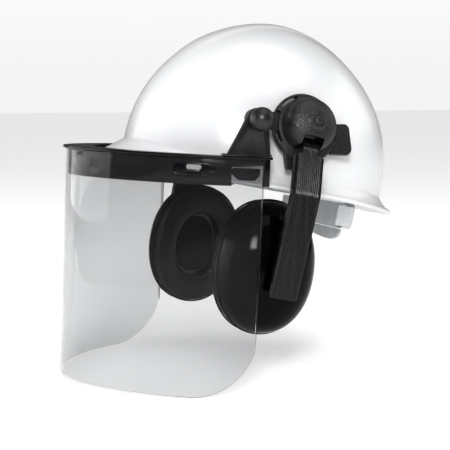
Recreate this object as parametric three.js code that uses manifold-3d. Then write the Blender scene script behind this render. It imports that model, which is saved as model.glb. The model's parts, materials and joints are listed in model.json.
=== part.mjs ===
// Safety helmet with a flip-up face shield and a pair of cap-mounted ear muffs.
// Millimetres, +Z up. The wearer looks along -Y and has their left side on +X.
// The origin is the middle of the headband, where the helmet sits on the head.
import * as THREE from 'three';
import { mergeVertices } from 'three/addons/utils/BufferGeometryUtils.js';
import Module from 'manifold-3d';

const wasm = await Module();
wasm.setup();
const rad = THREE.MathUtils.degToRad;
const { sin, cos, abs, max, min, sqrt, sign, PI } = Math;

// ---------------------------------------------------------------- driving sizes
const gap = 0.3; // clearance between pieces that touch

// Shell: half length, half width and height of the dome, in a frame tipped front-up.
const shell = { halfLength: 122.7, halfWidth: 100.6, height: 127.8, wall: 2.6, rise: 2.16, round: 1.79 };
const shellTip = 11.24; // degrees the shell, headband and suspension are tipped front-up
const shellBaseZ = 10.1; // height of the dome's base plane at the origin
const brim = { // flare below the dome: where it starts, how far down and out it reaches
  side: { start: -3, edge: -14, reach: 8.5 },
  front: { start: 5, edge: -18, reach: 31 },
  rear: { start: -6, edge: -19.4, reach: 12.7 },
};

// Headband and suspension, in the shell's frame.
const band = { halfWidth: 77, halfLength: 93, y: -1, thick: 1.8, top: 10, bottom: -18, opening: 32 };
const browPad = { thick: 3.4, spread: 62, top: 12, bottom: -20 };
const keyAngles = { FL: -42, FR: -138, RR: 138, RL: 42 }; // degrees round from the wearer's left
const key = {
  width: 19, leg: 2.4, hook: 3, start: 4, back: 2.2, low: -14, hookTop: 14, legTop: 9, armLow: -2, armTop: 1.5,
};
const strap = { width: 19, thick: 1, inset: 9.5, foot: 5, rise: 87, lift: 1.8 };
const crownPad = { radius: 24, thick: 3.5 };

// Ratchet at the nape: two racks run over each other past one pinion.
const nape = { y: 88.5, z: -29, rackTop: 9, rackThick: 2, pinionRadius: 3.6 };
const rack = {
  end: -14, bend: 36, clear: 0.4, pitch: 2.5, firstTooth: -11, lastTooth: 19, tooth: 0.9, dip: 0.5,
};
const housing = { halfWidth: 30, halfHeight: 12.5, front: 86.3, back: 95.5 };
const ratchetKnob = { radius: 11.5, length: 9.5, flutes: 16 };

// Face shield, in a frame tipped front-up. Its plan is a superellipse bow, open to the rear.
const visorTip = 2.9;
const visorAt = { y: -29.56, z: 23.4 };
const bow = { halfWidth: 117.1, length: 129.5, power: 1.69, soften: 0.2, y: -13.9, tail: 5 };
const sheet = { thick: 1, height: 195.5, corner: 55, end: -1.8, top: -0.5 };
const frameBand = { height: 21.7, thick: 2.2, inset: 1.7, flange: 2.2, lip: 2.8 };
const flangeWidth = { side: 5, front: 24.5 };
const sheetTabs = [16, 56]; // distance of the sheet's retaining tabs from its rear edge
const pivot = { y: -49.5, z: 56.3 }; // face shield's pivot, in the helmet's frame
const gusset = { inner: 112.9, outer: 115.4, front: -47, rear: -9.5, head: 9, panel: 1 };
const link = { inner: 106, outer: 110, boss: 8, rearY: -24, top: 60.5, bottom: 46.5 };
const knob = { radius: 9.8, centreX: 122.5, neck: 5 };
const bolt = { radius: 2.5, head: 5.5, headX: 101.5 };

// Ear muff mount: a disc standing on the side of the shell, tipped to its slope.
const mount = { x: 98.4, y: -1.1, z: 47.2, slope: 16.2 };
const ring = { radius: 29, thick: 6, post: 4.5 };
const tab = { front: 25, rear: 41.5, top: 3, bottom: -24, thick: 4 };
const cap = { radius: 22, skirt: 9.5, dome: 12.5, wall: 2.2 };
const arm = {
  lean: 13, outer: 18.8, thick: 5, width: 24.8, neck: 15, shoulder: -27, bend: -60, bendAngle: 18.1, lower: 86.5,
};
const armHinge = { x: 13.2, z: -9, barrel: 3.8, pin: 1.6 };
const channel = { width: 14, depth: 2.4, top: -38, bottom: -82 };
const cupAxis = -64.7; // distance down the lower arm to the middle of the ear cup
const slider = { width: 20, length: 27, thick: 2.8 };

// Ear cup, in its own frame: x out from the head, rim at x = 0.
const cup = { cant: -3.1, lean: 9, halfWidth: 44.5, halfHeight: 57.5, depth: 33.5, wall: 2.6 };
const cupRound = { face: 2.25, outline: 2.2, plan: 2.15 };
const socket = { radius: 8.5, height: 3.6, bore: 4.3 };
const ball = { radius: 3.2, stem: 2.2, x: -11.6, offFace: 3.9 };
const cupPlate = { thick: 2.2, openingWidth: 19, openingHeight: 27 };
const cushion = { depth: 13.5, inset: 1.5, openingWidth: 21, openingHeight: 30 };
const liner = { front: 1.2, back: 13, inset: 5.5 };

// ---------------------------------------------------------------- finishes
const finish = (color, roughness, metalness = 0) =>
  new THREE.MeshStandardMaterial({ color, roughness, metalness });
const whiteGloss = () => finish(0xf2f3f4, 0.22);
const blackGloss = () => finish(0x0c0c0e, 0.14);
const blackGrained = () => finish(0x161618, 0.55);
const blackSatin = () => finish(0x101113, 0.38);
const clearSheet = () => finish(0xdfe6ea, 0.05);
const paleNylon = () => finish(0xd9dcdd, 0.5);
const webbing = () => finish(0xc9ccce, 0.9);
const foam = () => finish(0x2c2d30, 0.95);
const padSkin = () => finish(0x18191b, 0.6);
const steel = () => finish(0x9a9da0, 0.35, 1);

// ---------------------------------------------------------------- solids
const vec = (x, y, z) => new THREE.Vector3(x, y, z);

// A closed body from points and triangles: shared vertices merged, flat slivers dropped, faces out.
function body(points, index) {
  const loose = new THREE.BufferGeometry().setFromPoints(points);
  loose.setIndex(index);
  const merged = mergeVertices(loose, 1e-3);
  const p = merged.getAttribute('position');
  const kept = [];
  let volume = 0;
  const [a, b, c] = [vec(), vec(), vec()];
  for (let i = 0; i < merged.index.count; i += 3) {
    const [i0, i1, i2] = [0, 1, 2].map((k) => merged.index.getX(i + k));
    if (i0 === i1 || i1 === i2 || i2 === i0) continue;
    kept.push(i0, i1, i2);
    const normal = b.fromBufferAttribute(p, i1).cross(c.fromBufferAttribute(p, i2));
    volume += a.fromBufferAttribute(p, i0).dot(normal);
  }
  merged.setIndex(volume < 0 ? kept.reverse() : kept);
  return merged;
}

// A skin through rings of equal point counts. Open ends are closed with the cap triangles of a
// flat section, or with a fan where a ring is convex or shrinks to a point.
function loft(rings, { closed = false, section = null } = {}) {
  const count = rings[0].length;
  const points = rings.flat();
  const index = [];
  const steps = closed ? rings.length : rings.length - 1;
  for (let i = 0; i < steps; i++) {
    const a = i * count;
    const b = ((i + 1) % rings.length) * count;
    for (let j = 0; j < count; j++) {
      const k = (j + 1) % count;
      index.push(a + j, a + k, b + k, a + j, b + k, b + j);
    }
  }
  if (!closed) {
    const last = (rings.length - 1) * count;
    if (section) {
      for (const [i, j, k] of THREE.ShapeUtils.triangulateShape(section, [])) {
        index.push(k, j, i, last + i, last + j, last + k);
      }
    } else {
      for (const [start, flip] of [[0, true], [last, false]]) {
        const ring = points.slice(start, start + count);
        const centre = ring.reduce((sum, q) => sum.add(q), vec()).divideScalar(count);
        points.push(centre);
        for (let j = 0; j < count; j++) {
          const k = (j + 1) % count;
          index.push(start + (flip ? k : j), start + (flip ? j : k), points.length - 1);
        }
      }
    }
  }
  return body(points, index);
}

function solid(geometry) {
  const bare = geometry.clone();
  bare.deleteAttribute('normal');
  bare.deleteAttribute('uv');
  const merged = mergeVertices(bare, 1e-4);
  const vertProperties = new Float32Array(merged.getAttribute('position').array);
  const triVerts = new Uint32Array(merged.index.array);
  return new wasm.Manifold(new wasm.Mesh({ numProp: 3, vertProperties, triVerts }));
}

function geometryOf(manifold) {
  const mesh = manifold.getMesh();
  const geometry = new THREE.BufferGeometry();
  geometry.setAttribute('position', new THREE.BufferAttribute(new Float32Array(mesh.vertProperties), 3));
  geometry.setIndex(Array.from(mesh.triVerts));
  return geometry;
}
const cut = (from, ...tools) => geometryOf(tools.reduce((s, t) => s.subtract(solid(t)), solid(from)));
const join = (first, ...more) => geometryOf(more.reduce((s, t) => s.add(solid(t)), solid(first)));

const box = (x0, x1, y0, y1, z0, z1) =>
  new THREE.BoxGeometry(x1 - x0, y1 - y0, z1 - z0).translate((x0 + x1) / 2, (y0 + y1) / 2, (z0 + z1) / 2);
const rodX = (radius, x0, x1, y = 0, z = 0, sides = 18) =>
  new THREE.CylinderGeometry(radius, radius, x1 - x0, sides).rotateZ(-PI / 2).translate((x0 + x1) / 2, y, z);
const rodY = (radius, y0, y1, x = 0, z = 0, sides = 18) =>
  new THREE.CylinderGeometry(radius, radius, y1 - y0, sides).translate(x, (y0 + y1) / 2, z);
const rodZ = (radius, z0, z1, x = 0, y = 0, sides = 24) =>
  new THREE.CylinderGeometry(radius, radius, z1 - z0, sides).rotateX(PI / 2).translate(x, y, (z0 + z1) / 2);
// A profile [along x, radius] turned about the x axis.
function turnedX(profile, sides = 32) {
  const outline = profile.map(([x, r]) => new THREE.Vector2(r, x));
  const lathe = new THREE.LatheGeometry(outline, sides).rotateZ(-PI / 2);
  const p = lathe.getAttribute('position');
  const points = Array.from({ length: p.count }, (_, i) => vec().fromBufferAttribute(p, i));
  return body(points, Array.from(lathe.index.array));
}
const outline = (points) => new THREE.Shape(points.map(([u, v]) => new THREE.Vector2(u, v)));

function slabAcrossX(shape, x0, x1, curveSegments = 8) { // outline in (y, z)
  const plate = new THREE.ExtrudeGeometry(shape, { depth: x1 - x0, bevelEnabled: false, curveSegments });
  plate.applyMatrix4(new THREE.Matrix4().makeBasis(vec(0, 1, 0), vec(0, 0, 1), vec(1, 0, 0)));
  return plate.translate(x0, 0, 0);
}
function slabAcrossY(shape, y0, y1, curveSegments = 8) { // outline in (x, z)
  const plate = new THREE.ExtrudeGeometry(shape, { depth: y1 - y0, bevelEnabled: false, curveSegments });
  plate.applyMatrix4(new THREE.Matrix4().makeBasis(vec(1, 0, 0), vec(0, 0, 1), vec(0, -1, 0)));
  return plate.translate(0, y1, 0);
}
function roundedRect(y0, y1, z0, z1, r) {
  const shape = new THREE.Shape();
  shape.moveTo(y0 + r, z0);
  shape.lineTo(y1 - r, z0);
  shape.absarc(y1 - r, z0 + r, r, -PI / 2, 0);
  shape.absarc(y1 - r, z1 - r, r, 0, PI / 2);
  shape.absarc(y0 + r, z1 - r, r, PI / 2, PI);
  shape.absarc(y0 + r, z0 + r, r, PI, 1.5 * PI);
  return shape;
}

// ---------------------------------------------------------------- scene
const helmet = new THREE.Group();
const shellFrame = new THREE.Group();
shellFrame.position.set(0, 0, shellBaseZ);
shellFrame.rotation.x = rad(-shellTip);
const visorFrameGroup = new THREE.Group();
visorFrameGroup.position.set(0, visorAt.y, visorAt.z);
visorFrameGroup.rotation.x = rad(-visorTip);
helmet.add(shellFrame, visorFrameGroup);

// The wearer's right side is the mirror image of the left.
function mirrored(geometry) {
  const copy = geometry.index ? geometry.clone() : mergeVertices(geometry);
  copy.scale(-1, 1, 1);
  copy.setIndex(Array.from(copy.index.array).reverse());
  return copy;
}
function add(group, name, geometry, material, side = 1) {
  const mesh = new THREE.Mesh(side < 0 ? mirrored(geometry) : geometry, material);
  mesh.name = name;
  group.add(mesh);
  return mesh;
}
const sides = [['L', 1], ['R', -1]];

// ---------------------------------------------------------------- shell
const shellSides = 48;
// Share of the dome's full radius at a share of its height.
const domeRadius = (share) => (share <= 0 ? 1 : (1 - share ** shell.rise) ** (1 / shell.round));
// A value round the brim, blended between side, front and rear.
function roundBrim(property, angle) {
  const front = max(0, -sin(angle)) ** 2.6;
  const rear = max(0, sin(angle)) ** 2;
  const side = 1 - front - rear;
  return brim.side[property] * side + brim.front[property] * front + brim.rear[property] * rear;
}
function shellSkin() {
  const domeRows = 8;
  const brimRows = 3;
  const grid = [];
  const around = Array.from({ length: shellSides }, (_, j) => (2 * PI * j) / shellSides);
  for (let i = 0; i <= domeRows; i++) {
    const rise = sin((PI / 2) * (1 - i / domeRows)) ** (2 / shell.rise);
    grid.push(around.map((t) => {
      const start = roundBrim('start', t);
      const z = start + (shell.height - start) * rise;
      const r = i === 0 ? 0 : domeRadius(z / shell.height);
      return vec(shell.halfWidth * r * cos(t), shell.halfLength * r * sin(t), z);
    }));
  }
  for (let i = 1; i <= brimRows; i++) {
    const s = i / brimRows;
    grid.push(around.map((t) => {
      const start = roundBrim('start', t);
      const front = max(0, -sin(t)) ** 2;
      const out = roundBrim('reach', t) * s ** (1.7 - 0.7 * front);
      const base = vec(cos(t) / shell.halfWidth, sin(t) / shell.halfLength, 0).normalize();
      const r = domeRadius(start / shell.height);
      const p = vec(shell.halfWidth * r * cos(t), shell.halfLength * r * sin(t), start);
      p.z += (roundBrim('edge', t) - start) * s;
      return p.addScaledVector(base, out);
    }));
  }
  const inner = grid.map((row, i) => row.map((p, j) => {
    const along = row[(j + 1) % shellSides].clone().sub(row[(j + shellSides - 1) % shellSides]);
    const down = grid[min(i + 1, grid.length - 1)][j].clone().sub(grid[max(i - 1, 0)][j]);
    const normal = i === 0 ? vec(0, 0, 1) : down.cross(along).normalize();
    return p.clone().addScaledVector(normal, -shell.wall);
  }));
  return loft([...grid, ...inner.reverse()]);
}

// Dome-shaped tool a little larger than the shell, in the shell's frame.
function domeTool(grow) {
  const rings = [];
  for (let i = 0; i <= 12; i++) {
    const a = (PI / 2) * (1 - i / 12);
    const r = i === 0 ? 0 : cos(a) ** (2 / shell.round);
    const z = (shell.height + grow) * sin(a) ** (2 / shell.rise);
    rings.push(Array.from({ length: shellSides }, (_, j) => {
      const t = (2 * PI * j) / shellSides;
      return vec((shell.halfWidth + grow) * r * cos(t), (shell.halfLength + grow) * r * sin(t), z);
    }));
  }
  rings.push(rings.at(-1).map((p) => vec(p.x, p.y, -40)));
  return loft(rings);
}

// ---------------------------------------------------------------- headband and suspension
const onEllipse = (halfWidth, halfLength, y, angle) =>
  vec(halfWidth * cos(angle), y + halfLength * sin(angle), 0);
// An upright strip round part of an ellipse, angles in degrees, its bottom edge given by a function.
function ellipseStrip({ halfWidth, halfLength, y, from, to, steps, thick, top, bottom }) {
  const rings = [];
  for (let i = 0; i <= steps; i++) {
    const a = rad(from + ((to - from) * i) / steps);
    const out = vec(cos(a) / halfWidth, sin(a) / halfLength, 0).normalize();
    const p = onEllipse(halfWidth, halfLength, y, a);
    const q = p.clone().addScaledVector(out, -thick);
    const [low, high] = [bottom(i / steps), top(i / steps)];
    rings.push([vec(p.x, p.y, high), vec(q.x, q.y, high), vec(q.x, q.y, low), vec(p.x, p.y, low)]);
  }
  return loft(rings);
}
function headband() {
  return ellipseStrip({
    ...band, from: 90 + band.opening, to: 450 - band.opening, steps: 64,
    top: () => band.top, bottom: () => band.bottom,
  });
}
function browCushion() {
  return ellipseStrip({
    halfWidth: band.halfWidth - band.thick - gap, halfLength: band.halfLength - band.thick - gap, y: band.y,
    from: 270 - browPad.spread, to: 270 + browPad.spread, steps: 24, thick: browPad.thick,
    top: () => browPad.top, bottom: () => browPad.bottom,
  });
}
// A key stands between the shell's inner wall and the headband and takes a crown strap's end.
function keyFrame(angle) {
  const wall = onEllipse(shell.halfWidth - shell.wall, shell.halfLength - shell.wall, 0, rad(angle));
  const inward = wall.clone().negate().normalize();
  return { wall, inward };
}
function suspensionKey(angle) {
  const { wall, inward } = keyFrame(angle);
  const bandPoint = onEllipse(band.halfWidth, band.halfLength, band.y, rad(angle));
  const reach = wall.clone().sub(bandPoint).dot(inward.clone().negate()) - key.back;
  const profile = outline([
    [key.start, key.armLow], [reach - key.leg, key.armLow], [reach - key.leg, key.low], [reach, key.low],
    [reach, key.legTop], [reach - key.leg, key.legTop], [reach - key.leg, key.armTop],
    [key.start + key.hook, key.armTop], [key.start + key.hook, key.hookTop], [key.start, key.hookTop],
  ]);
  const block = new THREE.ExtrudeGeometry(profile, { depth: key.width, bevelEnabled: false });
  block.translate(0, 0, -key.width / 2);
  const across = vec(0, 0, 1).cross(inward);
  block.applyMatrix4(new THREE.Matrix4().makeBasis(inward, vec(0, 0, 1), across.negate()));
  return block.translate(wall.x, wall.y, 0);
}
function crownStrap(angle, lift) {
  const { wall, inward } = keyFrame(angle);
  const halfSpan = wall.length() - strap.inset;
  const out = inward.clone().negate();
  const across = vec(0, 0, 1).cross(out).multiplyScalar(strap.width / 2);
  const rings = [];
  const steps = 28;
  for (let i = 0; i <= steps; i++) {
    const a = (PI * i) / steps;
    const centre = out.clone().multiplyScalar(halfSpan * cos(a)).setZ(strap.foot + (strap.rise + lift) * sin(a));
    const normal = out.clone().multiplyScalar(cos(a) / halfSpan).setZ(sin(a) / (strap.rise + lift)).normalize();
    const half = normal.multiplyScalar(strap.thick / 2);
    rings.push([
      centre.clone().add(half).add(across), centre.clone().add(half).sub(across),
      centre.clone().sub(half).sub(across), centre.clone().sub(half).add(across),
    ]);
  }
  return loft(rings);
}

// ---------------------------------------------------------------- nape ratchet
// One rack strap: straight past the pinion, then curving forward inside the headband's end.
function napeStrap(upper) {
  const inside = nape.pinionRadius + rack.clear;
  const [low, high] = upper ? [nape.z + inside, nape.z + nape.rackTop] : [nape.z - nape.rackTop, nape.z - inside];
  const curve = new THREE.CubicBezierCurve3(
    vec(rack.bend, nape.y, 0), vec(rack.bend + 8, nape.y - 1, 0), vec(50, nape.y - 14, 0), vec(54, nape.y - 26, 0));
  const path = [vec(rack.end, nape.y, 0), vec(rack.bend - 4, nape.y, 0), ...curve.getPoints(10)];
  const rings = path.map((p, i) => {
    const ahead = path[min(i + 1, path.length - 1)].clone().sub(path[max(i - 1, 0)]).normalize();
    const out = vec(-ahead.y, ahead.x, 0).multiplyScalar(nape.rackThick);
    const wide = i < 2 ? [low, high] : [nape.z - nape.rackTop, nape.z + nape.rackTop];
    return [
      vec(p.x, p.y, wide[1]), vec(p.x + out.x, p.y + out.y, wide[1]),
      vec(p.x + out.x, p.y + out.y, wide[0]), vec(p.x, p.y, wide[0]),
    ];
  });
  const teeth = [];
  const edge = upper ? low : high;
  for (let x = rack.firstTooth; x <= rack.lastTooth; x += rack.pitch) {
    const [x0, x1, z0, z1] = [x - rack.tooth, x + rack.tooth, edge - rack.dip, edge + rack.dip];
    const dip = outline([[x0, z0], [x1, z0], [x1, z1], [x0, z1]]);
    teeth.push(slabAcrossY(dip, nape.y - 1, nape.y + nape.rackThick + 1));
  }
  return cut(loft(rings), ...teeth);
}
function ratchetCase() {
  const shape = roundedRect(-housing.halfWidth, housing.halfWidth,
    nape.z - housing.halfHeight, nape.z + housing.halfHeight, 7);
  const block = slabAcrossY(shape, housing.front, housing.back, 5);
  const slotHalf = nape.rackTop + 0.5;
  const slot = box(-60, 60, nape.y - 0.4, nape.y + nape.rackThick + 0.4, nape.z - slotHalf, nape.z + slotHalf);
  const spindle = rodY(nape.pinionRadius + 0.4, nape.y - 0.4, housing.back + 5, 0, nape.z);
  return cut(block, slot, spindle);
}
// Spindle with its pinion, and the fluted knob that turns it.
function fluted(radius, depth, count) {
  const shape = new THREE.Shape();
  const points = count * 4;
  for (let i = 0; i <= points; i++) {
    const a = (2 * PI * i) / points;
    const r = radius - depth * (0.5 + 0.5 * cos(a * count));
    shape[i ? 'lineTo' : 'moveTo'](r * cos(a), r * sin(a));
  }
  return shape;
}

// ---------------------------------------------------------------- face shield
// How far forward the bow is, as a share of its length, at a share of its half width.
function bowReach(across) {
  const soft = bow.soften ** bow.power;
  const rise = (across ** 2 + bow.soften ** 2) ** (bow.power / 2) - soft;
  const full = (1 + bow.soften ** 2) ** (bow.power / 2) - soft;
  return max(0, 1 - rise / full) ** (1 / bow.power);
}
// Points of the bow, from its rear end on one side round the front to the other, with outward normals.
function bowPath(tail, steps) {
  const points = [];
  for (let i = 0; i <= steps; i++) {
    const c = cos((PI * i) / steps);
    const across = sign(c) * abs(c) ** (2 / bow.power);
    points.push(vec(bow.halfWidth * across, bow.y - bow.length * bowReach(abs(across)), 0));
  }
  points.unshift(vec(bow.halfWidth, bow.y + tail, 0));
  points.push(vec(-bow.halfWidth, bow.y + tail, 0));
  return points.map((p, i) => {
    const ahead = points[min(i + 1, points.length - 1)].clone().sub(points[max(i - 1, 0)]).normalize();
    return { p, out: vec(ahead.y, -ahead.x, 0).negate() };
  });
}
function shieldFrame() {
  const path = bowPath(bow.tail, 30);
  const section = [];
  const rings = path.map(({ p, out }) => {
    const forward = max(0, -(p.y - bow.y) / bow.length);
    const flange = flangeWidth.side + (flangeWidth.front - flangeWidth.side) * forward ** 1.5;
    const corners = [
      [frameBand.lip, 0], [frameBand.lip, frameBand.flange], [-flange, frameBand.flange], [-flange, 0],
      [-frameBand.inset - frameBand.thick, 0], [-frameBand.inset - frameBand.thick, -frameBand.height],
      [-frameBand.inset, -frameBand.height], [-frameBand.inset, 0],
    ];
    if (!section.length) section.push(...corners.map(([u, v]) => new THREE.Vector2(u, v)));
    return corners.map(([u, z]) => p.clone().addScaledVector(out, u).setZ(z));
  });
  return loft(rings, { section });
}
function shieldSheet() {
  const inEnds = [0, 0.03, 0.1, 0.2, 0.35, 0.55, 0.78, 1].map((u) => u * sheet.corner);
  const dense = bowPath(sheet.end, 400);
  const lengths = [0];
  for (let i = 1; i < dense.length; i++) lengths.push(lengths[i - 1] + dense[i].p.distanceTo(dense[i - 1].p));
  const total = lengths.at(-1);
  const middle = Array.from({ length: 24 }, (_, i) => sheet.corner + ((i + 1) * (total - 2 * sheet.corner)) / 25);
  const stations = [...inEnds, ...middle, ...inEnds.map((u) => total - u).reverse()];
  const rings = stations.map((s) => {
    const i = max(1, lengths.findIndex((l) => l >= s - 1e-6));
    const f = (s - lengths[i - 1]) / (lengths[i] - lengths[i - 1]);
    const p = dense[i - 1].p.clone().lerp(dense[i].p, f);
    const out = dense[i - 1].out.clone().lerp(dense[i].out, f).normalize();
    const near = min(s, total - s, sheet.corner);
    const low = -sheet.height + sheet.corner - sqrt(max(0, sheet.corner ** 2 - (sheet.corner - near) ** 2));
    const q = p.clone().addScaledVector(out, -sheet.thick);
    return [vec(p.x, p.y, sheet.top), vec(q.x, q.y, sheet.top), vec(q.x, q.y, low), vec(p.x, p.y, low)];
  });
  return loft(rings);
}
// Stadium block across the sheet, distance back from its rear edge; used as tab and as its opening.
function tabBlock(distance, halfLength, halfHeight, from, to) {
  const shape = roundedRect(-halfLength, halfLength, -halfHeight, halfHeight, halfHeight - 0.01);
  const y = bow.y + sheet.end - distance;
  const reach = min(1, -(y - bow.y) / bow.length);
  const x = bow.halfWidth * (1 - max(0, reach) ** bow.power) ** (1 / bow.power);
  const slope = Math.atan2(bow.halfWidth * max(0, reach) ** (bow.power - 1) * 0.9, bow.length);
  return slabAcrossX(shape, from, to, 3).rotateZ(-slope).translate(x, y, -9.5);
}
function gussetPlate() {
  const c = pivotInVisor();
  const plate = new THREE.Shape();
  plate.moveTo(gusset.front, frameBand.flange + gap);
  plate.lineTo(gusset.rear, frameBand.flange + gap);
  plate.lineTo(c.y + gusset.head, c.z);
  plate.absarc(c.y, c.z, gusset.head, 0, PI * 0.86, false);
  plate.closePath();
  const hollow = new THREE.Shape();
  hollow.moveTo(gusset.front + 8, frameBand.flange + 3);
  hollow.lineTo(gusset.rear - 3.2, frameBand.flange + 3);
  hollow.lineTo(c.y + gusset.head - 2.5, c.z - 9.5);
  hollow.lineTo(c.y - gusset.head + 1.5, c.z - 9.5);
  hollow.closePath();
  return cut(slabAcrossX(plate, gusset.inner, gusset.outer, 10),
    slabAcrossX(hollow, gusset.outer - gusset.panel, gusset.outer + 2),
    rodX(bolt.radius + gap, gusset.inner - 1, gusset.outer + 1, c.y, c.z));
}
function pivotInVisor() {
  const t = rad(visorTip);
  const [y, z] = [pivot.y - visorAt.y, pivot.z - visorAt.z];
  return { y: y * cos(t) - z * sin(t), z: y * sin(t) + z * cos(t) };
}
function linkArm() {
  const shape = new THREE.Shape();
  shape.moveTo(link.rearY, link.bottom);
  shape.lineTo(link.rearY, link.top);
  shape.lineTo(pivot.y, pivot.z + link.boss);
  shape.absarc(pivot.y, pivot.z, link.boss, PI / 2, 1.5 * PI, false);
  shape.closePath();
  const arm = slabAcrossX(shape, link.inner, link.outer, 8);
  const boss = rodX(link.boss, link.outer - 1, gusset.inner - gap, pivot.y, pivot.z);
  const bore = rodX(bolt.radius + gap, link.inner - 1, gusset.inner + 1, pivot.y, pivot.z);
  return cut(join(arm, boss), bore, ...linkPosts(2.8, 90));
}
function linkPosts(radius, fromX) {
  return [51, 57].map((z) => rodX(radius, fromX, link.outer + 1.2, -28.3, z, 10));
}
function knobShape() {
  const k = knob.centreX;
  const start = gusset.outer + gap;
  const profile = [[start, 0], [start, knob.neck], [k - 6.5, knob.neck]];
  for (let i = 0; i <= 7; i++) {
    const a = 0.27 * PI + (0.73 * PI * i) / 7;
    profile.push([k - knob.radius * cos(a), i === 7 ? 0 : knob.radius * sin(a)]);
  }
  const bore = rodX(bolt.radius + gap, start - 1, k + 2, 0, 0, 14);
  return cut(turnedX(profile, 18), bore);
}

// ---------------------------------------------------------------- ear muff mount
function mountDisc() {
  const disc = turnedX([[0, 0], [0, ring.radius - 1], [1, ring.radius], [ring.thick - 1.5, ring.radius],
    [ring.thick, ring.radius - 1.5], [ring.thick, 0]], 26);
  const wing = slabAcrossX(roundedRect(tab.front - 4, tab.rear, tab.bottom, tab.top, 4), 0, tab.thick, 4);
  const foot = slabAcrossX(roundedRect(-21, -7, -34, -18, 2), 0, 3.5, 3);
  const post = rodX(ring.post, ring.thick - 1, ring.thick + 6);
  const bore = rodX(2.4, ring.thick - 3, ring.thick + 8);
  return cut(join(disc, wing, foot, post), bore);
}
function slotAdapter(place) {
  const pad = slabAcrossX(roundedRect(-14, 14, -33, 16, 4), -14, -gap, 4);
  return cut(pad, domeTool(0.4).applyMatrix4(shellInMount(place)));
}
function shellInMount(place) {
  shellFrame.updateWorldMatrix(true, false);
  place.updateWorldMatrix(true, false);
  return place.matrixWorld.clone().invert().multiply(shellFrame.matrixWorld);
}
function swivelCap() {
  const start = ring.thick + gap;
  const shoulder = start + cap.skirt;
  const wallOut = [];
  const wallIn = [];
  const rows = 4;
  for (let i = 0; i <= rows; i++) {
    const a = ((PI / 2) * i) / rows;
    wallOut.push([shoulder + cap.dome * sin(a), i === rows ? 0 : cap.radius * cos(a)]);
    wallIn.push([shoulder + (cap.dome - cap.wall) * sin(a), i === rows ? 0 : (cap.radius - cap.wall) * cos(a)]);
  }
  const skin = turnedX([[start, cap.radius - cap.wall], [start, cap.radius], ...wallOut, ...wallIn.reverse(),
    [start, cap.radius - cap.wall]], 24);
  const notch = box(armHinge.x - 6, 60, -9, 9, -40, armHinge.z - 3.5);
  const slit = box(start - 1, 60, -13.2, -9 + 0.01, -40, -19);
  const screw = rodX(2.4, start, 60);
  const lugs = [-1, 1].map((s) => join(
    box(start, start + 11, s > 0 ? 8.2 : -11.2, s > 0 ? 11.2 : -8.2, armHinge.z - 4, armHinge.z + 5),
    box(start, start + 2.4, s > 0 ? 8.2 : -17, s > 0 ? 17 : -8.2, armHinge.z - 4, armHinge.z + 5)));
  const pinHole = rodY(armHinge.pin + gap, -13, 13, armHinge.x, armHinge.z, 16);
  return cut(join(cut(skin, notch, slit, screw), ...lugs), pinHole);
}
function capScrew() {
  const top = ring.thick + gap + cap.skirt + cap.dome + gap;
  const head = turnedX([[top, 0], [top, 3.4], [top + 0.8, 3.4], [top + 1.9, 2.2], [top + 2.3, 0]], 20);
  return join(head, rodX(2.1, ring.thick - 2.6, top + 0.5, 0, 0, 16));
}
function armSpring() {
  // Leaf bearing on the arm's barrel from inside the cap.
  const x = ring.thick + gap + 1;
  const leaf = outline([[x, 15], [x, 4], [x + 4.2, -3.6], [x + 5, -3.2], [x + 1, 4.4], [x + 1, 15]]);
  return slabAcrossY(leaf, 6, 7.6).translate(0, -1, 0);
}

// ---------------------------------------------------------------- arm and slider
function muffArm() {
  const t = rad(arm.bendAngle);
  const down = [-sin(t), -cos(t)];
  const innerX = arm.outer - arm.thick;
  const innerBend = arm.bend - arm.thick * Math.tan(t / 2);
  const end = [arm.outer + down[0] * arm.lower, arm.bend + down[1] * arm.lower];
  const endIn = [end[0] - arm.thick * cos(t), end[1] + arm.thick * sin(t)];
  const profile = outline([
    [armHinge.x + 2.4, armHinge.z - 2.4], [arm.outer, -19], [arm.outer, arm.bend], end, endIn,
    [innerX, innerBend], [innerX, -21], [armHinge.x - 1.4, armHinge.z - 2.8],
  ]);
  const blade = slabAcrossY(profile, -arm.width / 2, arm.width / 2);
  const beside = [-1, 1].map((s) => {
    const inner = s * (arm.neck / 2);
    const outer = s * 30;
    return box(-10, 40, min(inner, outer), max(inner, outer), arm.shoulder, 20);
  });
  const barrel = rodY(armHinge.barrel, -arm.neck / 2, arm.neck / 2, armHinge.x, armHinge.z, 20);
  const pinHole = rodY(armHinge.pin + gap, -20, 20, armHinge.x, armHinge.z, 16);
  const groove = box(-arm.thick - 1, -arm.thick + channel.depth, -channel.width / 2, channel.width / 2,
    channel.bottom, channel.top);
  return cut(join(cut(blade, ...beside), barrel), pinHole, lowerArm(groove));
}
// Moves a solid made along the lower arm (outer face x = 0, bend at z = 0) to the arm's frame.
const lowerArm = (geometry) => geometry.rotateY(rad(arm.bendAngle)).translate(arm.outer, 0, arm.bend);
function cupSlider() {
  const back = -arm.thick - gap;
  const plate = slabAcrossX(roundedRect(-slider.width / 2, slider.width / 2,
    cupAxis - slider.length / 2, cupAxis + slider.length / 2, 4), back - slider.thick, back, 4);
  const runner = box(back - 0.5, -arm.thick + channel.depth - gap, -channel.width / 2 + gap, channel.width / 2 - gap,
    cupAxis - 9, cupAxis + 9);
  const joint = new THREE.SphereGeometry(ball.radius, 14, 8).translate(ball.x, 0, cupAxis);
  const stem = rodX(ball.stem, ball.x, back - 1, 0, cupAxis, 12);
  return join(plate, runner, stem, joint);
}

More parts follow.
